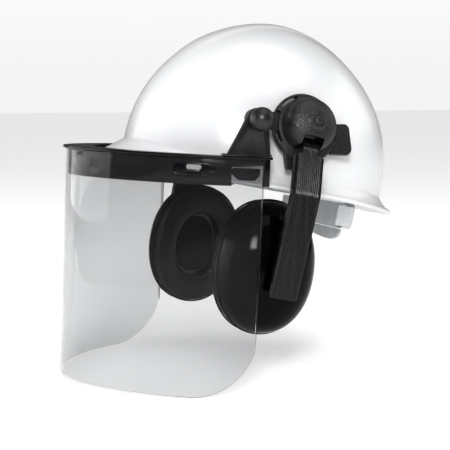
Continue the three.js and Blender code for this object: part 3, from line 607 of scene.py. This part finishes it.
def padded_strip(name, half_width, half_length, y, start, end, thick, top, bottom, channels):
    """A stitched pad round part of an ellipse, crowned between its sewn channels."""
    rows = []
    steps, points = 170, 28
    for i in range(steps + 1):
        f = i / steps
        a = math.radians(start + (end - start) * f)
        out = Vector((cos(a) / half_width, sin(a) / half_length, 0)).normalized()
        p = Vector((half_width * cos(a), y + half_length * sin(a), 0))
        ends = smooth(min(f, 1 - f) / 0.035)
        channel = abs(sin(PI * f * channels)) ** 0.45
        full = thick * (0.32 + 0.68 * channel) * (0.3 + 0.7 * ends)
        half = (top - bottom) / 2 * (0.86 + 0.14 * ends)
        row = []
        for k in range(points):
            b = 2 * PI * k / points
            inward = 0.12 + (full - 0.12) * (0.5 - 0.5 * power(cos(b), 0.7))
            puff = 0.18 * noise.noise(Vector((p.x, p.y, half * sin(b))) * 0.12)
            q = p - out * max(0.1, inward + puff * (inward > 0.6))
            row.append((q.x, q.y, (top + bottom) / 2 + half * power(sin(b), 0.75)))
        rows.append(row)
    return skin(name, rows, SHELL, sharp=70)


def crown_strap(name, degrees, lift):
    a = math.radians(degrees)
    wall = Vector(((HALF_W - WALL) * cos(a), (HALF_L - WALL) * sin(a), 0))
    out = wall.normalized()
    across = Vector((0, 0, 1)).cross(out)
    span, rise = wall.length - 9.5, 87 + lift
    section = rounded(-9.5, 9.5, -0.5, 0.5, 0.45, 3)
    rows, steps = [], 120
    for i in range(steps + 1):
        b = PI * i / steps
        centre = out * (span * cos(b)) + Vector((0, 0, 5 + rise * sin(b)))
        normal = (out * (cos(b) / span) + Vector((0, 0, sin(b) / rise))).normalized()
        rows.append([centre + across * u + normal * v for u, v in section])
    obj = skin(name, rows, SHELL)
    layer = obj.data.uv_layers.new(name="UVMap")
    to_shell = SHELL.inverted()
    for loop in obj.data.loops:
        p = to_shell @ (obj.data.vertices[loop.vertex_index].co / MM)
        b = math.atan2((p.z - 5) / rise, p.dot(out) / span)
        layer.data[loop.index].uv = (b * (span + rise) / 2, p.dot(across))
    return obj


def crown_cushion(name, radius, low, high):
    """A round pad with a quilted cross and a pinched rim."""
    rows, rings, sides = [], 26, 120
    middle, half = (low + high) / 2, (high - low) / 2
    for i in range(rings + 1):
        a = PI * i / rings
        row = []
        for j in range(sides):
            t = 2 * PI * j / sides
            r = radius * max(0.0, sin(a)) ** 0.55
            x, y = r * cos(t), r * sin(t)
            stitch = min(1.0, min(abs(x - y), abs(x + y)) / 5) ** 0.5
            row.append((x, y, middle - half * power(cos(a), 0.6) * (0.45 + 0.55 * stitch)))
        rows.append(row)
    return skin(name, rows, SHELL, sharp=80)


def build_nape():
    for tag in "LR":
        wear(from_node(f"nape_rack_{tag}", f"nape_strap_{tag}", 0.35), f"nape_strap_{tag}")
    wear(from_node("nape_ratchet_block", "ratchet_housing", 1.1, 4), "ratchet_housing")
    wear(from_node("nape_dial", "ratchet_knob", 0.5), "ratchet_knob")
    wear(from_node("nape_spindle", "ratchet_pinion", 0.2), "ratchet_pinion")
    wear(from_node("nape_rest", "nape_pad", 0.8, 4), "nape_pad")


# ------------------------------------------------------------------ face shield
BOW_W, BOW_L, BOW_POWER, BOW_SOFT, BOW_Y = 117.1, 129.5, 1.69, 0.2, -13.9


def bow_reach(across):
    soft = BOW_SOFT ** BOW_POWER
    rise = (across ** 2 + BOW_SOFT ** 2) ** (BOW_POWER / 2) - soft
    full = (1 + BOW_SOFT ** 2) ** (BOW_POWER / 2) - soft
    return max(0.0, 1 - rise / full) ** (1 / BOW_POWER)


class Bow:
    """The plan of the face shield, from its left rear end round the front, by distance."""

    def __init__(self, tail):
        points = [Vector((BOW_W, BOW_Y + tail, 0))]
        for i in range(1201):
            across = power(cos(PI * i / 1200), 2 / BOW_POWER)
            points.append(Vector((BOW_W * across, BOW_Y - BOW_L * bow_reach(abs(across)), 0)))
        points.append(Vector((-BOW_W, BOW_Y + tail, 0)))
        self.points, self.at = [points[0]], [0.0]
        for p in points[1:]:
            step = (p - self.points[-1]).length
            if step > 1e-4:
                self.points.append(p)
                self.at.append(self.at[-1] + step)
        self.total = self.at[-1]

    def find(self, distance):
        distance = max(0.0, min(self.total, distance))
        low, high = 0, len(self.at) - 1
        while high - low > 1:
            mid = (low + high) // 2
            low, high = (mid, high) if self.at[mid] <= distance else (low, mid)
        f = (distance - self.at[low]) / (self.at[high] - self.at[low])
        return self.points[low].lerp(self.points[high], f)

    def out(self, distance):
        ahead = self.find(distance + 1.5) - self.find(distance - 1.5)
        return Vector((-ahead.y, ahead.x, 0)).normalized()


sheet_bow = Bow(-1.8)
frame_bow = Bow(5)
FRONT = sheet_bow.total / 2


def stadium_tool(distance, half_long, half_tall, z, depth, mirror=True, shape=None, out_shift=0.0):
    """Tools across the shield at a distance from its rear edge, on both sides."""
    tools = []
    for d in ((distance, sheet_bow.total - distance) if mirror else (distance,)):
        out = sheet_bow.out(d)
        centre = sheet_bow.find(d) + out * out_shift
        flip = 1 if d <= FRONT else -1
        along = Vector((-out.y, out.x, 0)) * flip
        r = min(half_long, half_tall)
        outline = shape or (arc(half_long - r, 0, r, -90, 90, 12) + arc(-half_long + r, 0, r, 90, 270, 12))
        tools.append(prism("tool", outline, -depth, depth, (along, (0, 0, 1), out),
                           VISOR @ Matrix.Translation(centre + Vector((0, 0, z)))))
    return tools


def build_band():
    """The upright band and its flange; the slots, recess and drop-shaped hole are cut here only."""
    rim_rows, flange_rows, steps = [], [], 300
    for i in range(steps + 1):
        d = frame_bow.total * i / steps
        p, out = frame_bow.find(d), frame_bow.out(d)
        forward = max(0.0, -(p.y - BOW_Y) / BOW_L)
        flange = 5 + 19.5 * forward ** 1.5
        upright = [(-3.9, 0.3), (-3.9, -21.7), (-1.7, -21.7), (-1.7, 0.3)]
        level = [(2.8, 0), (2.8, 2.2), (-flange, 2.2), (-flange, 0)]
        rim_rows.append([p + out * u + Vector((0, 0, z)) for u, z in upright])
        flange_rows.append([p + out * u + Vector((0, 0, z)) for u, z in level])
    rim = skin("visor_band", rim_rows, VISOR)
    top_rim = skin("visor_flange", flange_rows, VISOR)
    bevel(top_rim, 0.5, 3, 35)
    wear(top_rim, "visor_frame", stands=False)
    block = [(-13, -14), (13, -14), (13, 5.2), (-10, 3.4), (-13, 3.4)]
    tools = stadium_tool(16, 13, 7, -10, 9, shape=block)
    tools += stadium_tool(60, 6.2, 1.9, -8, 9)
    tools += stadium_tool(115, 16, 2.9, -9.5, 1.2, out_shift=-1.7)
    tools += stadium_tool(151, 5, 2.1, -11.5, 9, shape=rounded(-5, 5, -2.1, 2.1, 0.8))
    tools += stadium_tool(170.5, 4.5, 1.9, -3, 9, shape=rounded(-4.5, 4.5, -1.9, 1.9, 0.5))
    tear = arc(0, -1.4, 2.5, -200, 20, 12) + [(0, 4.2)]
    tools += stadium_tool(FRONT, 4, 4, -11, 9, mirror=False, shape=tear)
    boolean(rim, tools)
    bevel(rim, 0.4, 2, 35)
    wear(rim, "visor_frame")
    tongue = [(-12.5, 3.0), (9.5, 3.2), (12.5, 0.6), (8.5, -3.6), (4.5, -6.6), (-8.5, -6.6), (-12.5, -2.0)]
    hooks = stadium_tool(18.5, 1, 1, -10.4, 1.2, shape=[(-u, v) for u, v in tongue], out_shift=-2.6)
    for k, hook in enumerate(hooks):
        hook.name = f"visor_hook_{'LR'[k]}"
        bevel(hook, 0.5, 3)
        wear(hook, "visor_frame", stands=False)
    for k, lug in enumerate(stadium_tool(45.5, 3.4, 3.4, -9.5, 1.0, out_shift=-0.9)):
        lug.name = f"visor_stud_{'LR'[k]}"
        bevel(lug, 0.6, 4)
        wear(lug, "visor_frame", stands=False)

    # Surface detail that the CAD leaves out: a raised lip round the sheet's opening and a small latch.
    opening = 61
    for k, lip in enumerate(stadium_tool(opening, 16.4, 4.9, -9.6, 0.6, out_shift=-1.3)):
        lip.name = f"visor_lip_{'LR'[k]}"
        distance = opening if k == 0 else sheet_bow.total - opening
        boolean(lip, stadium_tool(distance, 15.6, 4.1, -9.6, 3, mirror=False))
        bevel(lip, 0.25, 2)
        wear(lip, "visor_frame", stands=False)
    for k, stud in enumerate(stadium_tool(102.5, 4.6, 2.3, -9.2, 0.5, out_shift=-1.9)):
        stud.name = f"visor_latch_{'LR'[k]}"
        bevel(stud, 0.4, 3)
        wear(stud, "visor_frame", stands=False)


def build_sheet():
    corner, height, top, thick = 55.0, 195.5, -0.5, 1.0
    columns = [corner * (i / 26) ** 1.8 for i in range(27)]
    middle = 150
    span = sheet_bow.total - 2 * corner
    stations = columns + [corner + span * (i + 1) / (middle + 1) for i in range(middle)]
    stations += [sheet_bow.total - c for c in reversed(columns)]
    rows = []
    levels = 24
    for s in stations:
        p, out = sheet_bow.find(s), sheet_bow.out(s)
        near = min(s, sheet_bow.total - s, corner)
        low = -height + corner - math.sqrt(max(0.0, corner ** 2 - (corner - near) ** 2))
        q = p - out * thick
        heights = [top + (low - top) * k / levels for k in range(levels + 1)]
        rows.append([(p.x, p.y, z) for z in heights] + [(q.x, q.y, z) for z in reversed(heights)])
    sheet = skin("visor_window", rows, VISOR, sharp=40)
    boolean(sheet, stadium_tool(61, 17, 5.4, -9.6, 6), sharp=40)
    wear(sheet, "visor_sheet")


def build_visor():
    build_band()
    build_sheet()
    pair(build_gusset(), "visor_gusset", "smooth_black")
    pair(build_stay(), "visor_link")
    pair(from_node("pivot_screw_L", "pivot_bolt_L", 0.3), "pivot_bolt")
    pair(build_knob(), "visor_knob", "smooth_black")


def pivot_in_visor():
    t = math.radians(VISOR_TIP)
    y, z = PIVOT[0] - VISOR_Y, PIVOT[1] - VISOR_Z
    return y * cos(t) - z * sin(t), y * sin(t) + z * cos(t)


def build_gusset():
    cy, cz = pivot_in_visor()
    base = 2.5
    outline = [(-47, base), (-9.5, base), (cy + 9, cz)] + arc(cy, cz, 9, 0, 155, 18)[1:]
    plate = prism("visor_bracket_L", outline, 112.9, 115.4, ACROSS_X, VISOR)
    panel = [(-38.5, base + 3), (-12.9, base + 3), (cy + 6.2, cz - 10), (cy - 7.0, cz - 10)]
    cut = prism("tool", panel, 114.5, 118, ACROSS_X, VISOR)
    bore = turned("tool", [(110, 2.8), (118, 2.8)], VISOR @ shift(0, cy, cz), 32)
    boolean(plate, [cut, bore])
    foot = prism("tool", rounded(-50.5, -8.5, base - 0.1, base + 1.5, 0.5, 3), 111.9, 116.4, ACROSS_X, VISOR)
    rib_front = prism("tool", [(-47, base), (-44.8, base), (cy - 6.6, cz - 4), (cy - 8.8, cz - 3)],
                      115.2, 116.3, ACROSS_X, VISOR)
    rib_rear = prism("tool", [(-11.7, base), (-9.5, base), (cy + 9, cz - 3), (cy + 6.9, cz - 4)],
                     115.2, 116.3, ACROSS_X, VISOR)
    boolean(plate, [foot, rib_front, rib_rear], "UNION")
    return bevel(plate, 0.35, 2)


def build_stay():
    """The link from the muff mount to the shield pivot; it meets the mounting ring at the ring's rim."""
    y, z = PIVOT
    shape = [(-24, 46.5), (-24, 60.5)] + arc(y, z, 8, 90, 270, 20)
    stay = prism("visor_stay_L", shape, 106, 110, ACROSS_X)
    boss = turned("tool", [(109, 8), (112.6, 8)], shift(0, y, z), 48)
    boolean(stay, [boss], "UNION")
    rim = turned("tool", [(2, 28.7), (20, 28.7)], MOUNT, 96)
    bore = turned("tool", [(104, 2.8), (114, 2.8)], shift(0, y, z), 32)
    boolean(stay, [rim, bore])
    return bevel(stay, 0.7, 3, 40)


def build_knob():
    centre, radius, start, neck = 122.5, 9.8, 115.7, 5
    profile = [(start, 2.8), (start, neck), (centre - 6.6, neck), (centre - 6.4, 6.4)]
    for i in range(31):
        a = 0.24 * PI + 0.76 * PI * i / 30
        profile.append((centre - radius * cos(a), max(0.02, radius * sin(a))))
    return turned("visor_clamp_knob_L", profile, shift(0, *PIVOT), 96, sharp=40)


# ------------------------------------------------------------------ ear muff mount
def build_mount():
    ring_profile = [(0, 0.02), (0, 28), (0.3, 28.7), (1.0, 29), (4.4, 29), (5.4, 28.5), (6, 27.5), (6, 0.02)]
    disc = turned("muff_ring_L", ring_profile, MOUNT, 128)
    slots = []
    for start, end in ((100, 138), (147, 205)):
        ring = arc(0, 0, 27.0, start, end, 24) + arc(0, 0, 24.6, end, start, 24)
        slots.append(prism("tool", ring, -1, 9, ACROSS_X, MOUNT))
    for degrees in (35, 62, 250, 285):
        notch_shape = rounded(-2.2, 2.2, 25.2, 31, 0.4, 2)
        slots.append(prism("tool", notch_shape, 3.4, 9, ACROSS_X, MOUNT @ turn(degrees, "X")))
    boolean(disc, slots)
    bevel(disc, 0.3, 2, 40)
    wing_shape = ([(21, 3.0), (37, 3.0)] + arc(37, -1.5, 4.5, 90, 0, 6)[1:] + [(41.5, -12)]
                  + arc(34.5, -17, 7, 0, -70, 8) + [(21, -22.5)])
    wing = prism("muff_wing_L", wing_shape, 0.1, 4.6, ACROSS_X, MOUNT)
    bevel(wing, 1.2, 4)
    foot = prism("muff_foot_L", rounded(-21, -7, -34, -18, 1.6), 0.1, 3.6, ACROSS_X, MOUNT)
    bevel(foot, 0.7, 3)
    post = turned("muff_post_L", [(5.5, 2.45), (5.5, 4.5), (12, 4.5), (12, 2.45)], MOUNT, 40)
    pair(disc, "mount_disc")
    for extra in (wing, foot, post):
        pair(extra, "mount_disc", stands=False)
    pair(from_node("slot_insert_L", "slot_adapter_L", 0.5), "slot_adapter")
    head = [(29.4, 2.1), (29.5, 3.4), (29.7, 3.5), (30.2, 3.1), (30.7, 1.9), (30.9, 0.02)]
    screw = turned("cap_screw_head_L", [(4.0, 0.02), (4.0, 2.1)] + head, MOUNT, 48)
    pair(screw, "cap_screw")

    start, shoulder = 6.3, 15.8
    wall_out = [(start, 20.2), (start, 21.7), (start + 0.3, 22), (shoulder, 22)]
    for k in range(1, 56):
        a = PI / 2 * k / 56
        r = 22 * cos(a)
        nub = 1.3 * smooth((8.2 - r) / 2.4)
        wall_out.append((shoulder + 12.5 * sin(a) + nub, max(r, 2.4)))
    wall_in = [(shoulder + 10.3 * sin(a), 19.8 * cos(a)) for a in [PI / 2 * k / 20 for k in range(0, 19)]]
    wall_in = [(26.0, 2.4)] + wall_in[::-1] + [(start, 19.8)]
    cap = turned("muff_cap_L", wall_out + wall_in + [wall_out[0]], SWIVEL, 128)
    hinge_x, hinge_z = 13.2, -9
    notch = prism("tool", rounded(-9, 9, -40, hinge_z - 3.5, 0.8), 7.2, 60, ACROSS_X, SWIVEL)
    slit = prism("tool", rounded(-13.2, -8.9, -40, -19, 0.4), 5.3, 60, ACROSS_X, SWIVEL)
    boolean(cap, [notch, slit])
    bevel(cap, 0.3, 2, 45)
    pair(cap, "swivel_cap")
    for k, side in enumerate((-1, 1)):
        y0, y1 = (8.2, 11.2) if side > 0 else (-11.2, -8.2)
        cheek = rounded(y0, y1, hinge_z - 4, hinge_z + 5, 0.4, 2)
        lug = prism(f"muff_lug_{k}_L", cheek, start, start + 11, ACROSS_X, SWIVEL)
        bevel(lug, 0.4, 3)
        pair(lug, "swivel_cap", stands=False)
    pair(from_node("arm_hinge_pin_L", "arm_pin_L", 0.2), "arm_pin")
    pair(from_node("arm_leaf_L", "arm_spring_L", 0.15), "arm_spring")


# ------------------------------------------------------------------ arm and cup
def build_arm():
    outer, bend, angle = ARM_FACE, ARM_BEND_Z, math.radians(ARM_BEND)
    thick, width, neck, shoulder = 5.0, 24.8, 15.0, -27.0
    lower, radius = 86.5, 16.0
    reach = radius * math.tan(angle / 2)
    path = []
    z = -19.0
    while z > bend + reach:
        path.append((outer, z, 0.0))
        z -= 1.0 if z < shoulder - 3 or z > shoulder + 3 else 0.25
    for k in range(17):
        a = angle * k / 16
        path.append((outer - radius * (1 - cos(a)), bend + reach - radius * sin(a), a))
    x0, z0, _ = path[-1]
    length = lower - reach
    for k in range(1, 90):
        s = length * k / 89
        path.append((x0 - sin(angle) * s, z0 - cos(angle) * s, angle))
    half = width / 2
    ribs, columns = 13, 208
    across = [-half + width * k / columns for k in range(columns + 1)]
    last = path[-1]
    rows = []
    for x, z, a in path:
        limit = neck / 2 + (half - neck / 2) * smooth((shoulder + 1.2 - z) / 2.4)
        to_end = math.hypot(x - last[0], z - last[1])
        if to_end < 2.0:
            limit = half - 2.0 + math.sqrt(max(0.0, 4.0 - (2.0 - to_end) ** 2))
        out = Vector((cos(a), 0, -sin(a)))
        row = []
        for y in across:
            yy = max(-limit, min(limit, y))
            inside = smooth((half - 1.4 - abs(y)) / 0.5) * smooth((limit - abs(yy)) / 0.6)
            fade = smooth(to_end / 3.0) * smooth((-19.5 - z) / 2.0)
            wave = 0.5 + 0.5 * cos(2 * PI * ribs * y / (width - 2.8))
            groove = -0.38 * (1 - wave ** 0.6) * inside * fade
            row.append(Vector((x, yy, z)) + out * groove)
        back = []
        for y in (half, half / 2, 0, -half / 2, -half):
            yy = max(-limit, min(limit, y))
            back.append(Vector((x, yy, z)) - out * thick)
        rows.append(row + back)
    blade = skin("muff_blade_L", rows, SWIVEL, sharp=38)
    groove_tool = prism("tool", rounded(-7, 7, -82, -38, 1.0), -5.9, -2.6, ACROSS_X, LOWER)
    boolean(blade, [groove_tool], sharp=38)
    pair(blade, "muff_arm", "ribbed_black")
    root_shape = [(10.9, -12.0), (14.4, -10.0), (18.8, -17.5), (18.8, -19.4), (13.8, -21.2), (11.8, -14)]
    root = prism("muff_root_L", root_shape, -7.5, 7.5, ACROSS_Y, SWIVEL)
    barrel = turned("tool", [(-7.5, 3.8), (7.5, 3.8)], SWIVEL @ shift(13.2, 0, -9) @ turn(90, "Z"), 48)
    boolean(root, [barrel], "UNION")
    bevel(root, 0.3, 2)
    pair(root, "muff_arm", "ribbed_black", stands=False)
    pair(from_node("height_slider_L", "cup_slider_L", 0.25), "cup_slider")


def oval(half_width, half_height, x, sides=144, plan=2.15):
    turns = [2 * PI * j / sides for j in range(sides)]
    return [(x, half_width * power(cos(a), 2 / plan), half_height * power(sin(a), 2 / plan)) for a in turns]


def build_cup():
    half_w, half_h, wall = 44.5, 57.5, 2.6
    outside = []
    lip = [(0, -0.9), (0.0, -0.3), (0.25, 0), (1.9, 0), (2.3, -0.35), (2.35, -1.0), (2.6, -1.3)]
    for x, inset in lip:
        outside.append(oval(half_w + inset, half_h + inset, x))
    steps = 44
    for i in range(1, steps + 1):
        a = math.asin(min(1.0, (3.0 / CUP_DEPTH) ** (2.25 / 2)))
        b = a + (PI / 2 - a) * i / steps
        r = cos(b) ** (2 / 2.2) if i < steps else 0.0
        x = CUP_DEPTH * sin(b) ** (2 / 2.25)
        outside.append(oval(max(0.05, (half_w - 0.9) * r), max(0.05, (half_h - 0.9) * r), x))
    inside = []
    for i in range(24):
        b = (PI / 2) * i / 24
        r = cos(b) ** (2 / 2.2)
        x = (CUP_DEPTH - wall) * sin(b) ** (2 / 2.25)
        inside.append(oval((half_w - wall) * r, (half_h - wall) * r, x))
    inside.append(oval(0.05, 0.05, CUP_DEPTH - wall))
    cup = skin("muff_bowl_L", inside[::-1] + outside, CUP, sharp=30)
    pair(cup, "cup_shell")
    socket = [(31.2, 4.35), (31.2, 8.6), (33.6, 8.5), (36.6, 8.2), (37.1, 7.7), (37.1, 4.35),
              (33.8, 4.3), (31.2, 4.35)]
    boss = turned("muff_socket_L", socket, CUP, 72)
    pair(boss, "cup_shell", stands=False)
    plate = from_node("muff_plate_L", "cup_plate_L", 0.4)
    pair(plate, "cup_plate")

    back, depth = -2.8, 13.5
    rings = []
    points, sides = 36, 144
    outer, hole = (43.0, 56.0), (21.0, 30.0)
    base_out, base_in = oval(*outer, 0), oval(*hole, 0)
    for k in range(points):
        b = 2 * PI * k / points
        u = 0.5 + 0.5 * power(cos(b), 0.75)
        x = back - depth / 2 - depth / 2 * power(sin(b), 0.72)
        row = []
        for j in range(sides):
            p, q = Vector(base_in[j]), Vector(base_out[j])
            t = 2 * PI * j / sides
            pucker = 0.35 * noise.noise(Vector((cos(t) * 9, sin(t) * 9, 0.35 * x))) * abs(sin(b))
            dip = 0.8 * math.exp(-((u - 1.0) / 0.05) ** 2)
            c = p.lerp(q, max(0.0, min(1.0, u)))
            c -= (q - p).normalized() * dip * (abs(sin(b)) < 0.35)
            row.append((x + pucker, c.y, c.z))
        rings.append(row)
    cushion = skin("muff_cushion_L", rings, CUP, looped=True, sharp=80)
    inflate(cushion, 3.0, 1.2)
    pair(cushion, "ear_cushion")
    seam_rows = []
    for j in range(sides):
        p = Vector(base_out[j])
        away = Vector((0, p.y / outer[0] ** 2, p.z / outer[1] ** 2)).normalized()
        centre = Vector((back - depth * 0.5, p.y, p.z)) + away * 0.1
        turns = [2 * PI * k / 10 for k in range(10)]
        seam_rows.append([centre + away * (0.75 * cos(a)) + Vector((0.75 * sin(a), 0, 0)) for a in turns])
    seam = skin("muff_piping_L", seam_rows, CUP, looped=True, sharp=80)
    pair(seam, "ear_cushion", stands=False)
    liner_rows = []
    for x, inset in ((1.2, 6.0), (1.8, 5.5), (7.8, 6.5), (11.8, 9.0), (13.0, 12.0)):
        liner_rows.append(oval(half_w - inset, half_h - inset, x))
    liner = skin("muff_foam_L", liner_rows, CUP, sharp=60)
    pair(liner, "foam_liner")


wear(build_shell(), "shell")
build_suspension()
build_nape()
build_visor()
build_mount()
build_arm()
build_cup()

# ------------------------------------------------------------------ floor, light and camera
low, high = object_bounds()
ground = low.z - 0.001
bm = bmesh.new()
bmesh.ops.create_grid(bm, x_segments=2, y_segments=2, size=12)
mesh = bpy.data.meshes.new("floor")
bm.to_mesh(mesh)
bm.free()
floor = bpy.data.objects.new("floor", mesh)
floor.location = (0, 0, ground)
bpy.context.scene.collection.objects.link(floor)
pale = Finish("floor_pale", (0.9, 0.9, 0.9), 0.7, specular=0.1)
pale.vary_color(pale.noise(3, 2), (0.89, 0.89, 0.892))
pale.set("Emission Color", (1, 1, 1, 1))
pale.set("Emission Strength", 0.36)
floor.data.materials.append(pale.material)

world = bpy.data.worlds.new("studio")
bpy.context.scene.world = world
world.use_nodes = True
tree = world.node_tree
backdrop = tree.nodes["Background"]
backdrop.inputs["Color"].default_value = (1, 1, 1, 1)
path = tree.nodes.new("ShaderNodeLightPath")
seen = tree.nodes.new("ShaderNodeMath")
seen.operation = "MAXIMUM"
tree.links.new(path.outputs["Is Camera Ray"], seen.inputs[0])
tree.links.new(path.outputs["Is Transmission Ray"], seen.inputs[1])
direction = tree.nodes.new("ShaderNodeTexCoord")
split = tree.nodes.new("ShaderNodeSeparateXYZ")
tree.links.new(direction.outputs["Generated"], split.inputs["Vector"])
climb = tree.nodes.new("ShaderNodeMapRange")  # the backdrop brightens from the floor's level upwards
climb.interpolation_type = "SMOOTHSTEP"
climb.inputs["From Min"].default_value, climb.inputs["From Max"].default_value = 0.0, 0.14
climb.inputs["To Min"].default_value, climb.inputs["To Max"].default_value = 0.93, 1.0
tree.links.new(split.outputs["Z"], climb.inputs["Value"])
level = tree.nodes.new("ShaderNodeMapRange")
level.inputs["To Min"].default_value = 0.2  # what lights the object
tree.links.new(climb.outputs["Result"], level.inputs["To Max"])
tree.links.new(seen.outputs["Value"], level.inputs["Value"])
tree.links.new(level.outputs["Result"], backdrop.inputs["Strength"])
bpy.context.scene.view_settings.view_transform = "Standard"
bpy.context.scene.view_settings.gamma = 0.72


def softbox(name, place, target, width, height, watts):
    light = bpy.data.lights.new(name, "AREA")
    light.shape = "RECTANGLE"
    light.size, light.size_y = width, height
    light.energy = watts
    obj = bpy.data.objects.new(name, light)
    obj.location = place
    obj.rotation_euler = (Vector(target) - Vector(place)).to_track_quat("-Z", "Y").to_euler()
    bpy.context.scene.collection.objects.link(obj)


softbox("key", (1.22, -0.6, 0.62), (0.1, -0.02, 0.03), 0.36, 0.36, 12)
softbox("front_panel", (-0.75, -1.41, 0.42), (0.0, -0.05, 0.1), 1.85, 1.1, 13)
softbox("rear_panel", (0.2, 1.7, 0.75), (0.0, 0.05, 0.03), 1.6, 0.9, 6)
sky = bpy.data.lights.new("sky", "SUN")
sky.energy, sky.angle = 1.2, math.radians(60)
sky_lamp = bpy.data.objects.new("sky", sky)
sky_lamp.rotation_euler = (math.radians(-8), math.radians(10), 0)
bpy.context.scene.collection.objects.link(sky_lamp)

camera = bpy.data.cameras.new("camera")
camera.lens, camera.sensor_width = 86.59, 36
camera.shift_x, camera.shift_y = 0.0021, 0.0736
camera.clip_start, camera.clip_end = 0.05, 60
view = bpy.data.objects.new("camera", camera)
view.location = (0.89966, -0.41498, 0.07755)
view.rotation_euler = (math.radians(81.284), 0, math.radians(66.81))
bpy.context.scene.collection.objects.link(view)
bpy.context.scene.camera = view
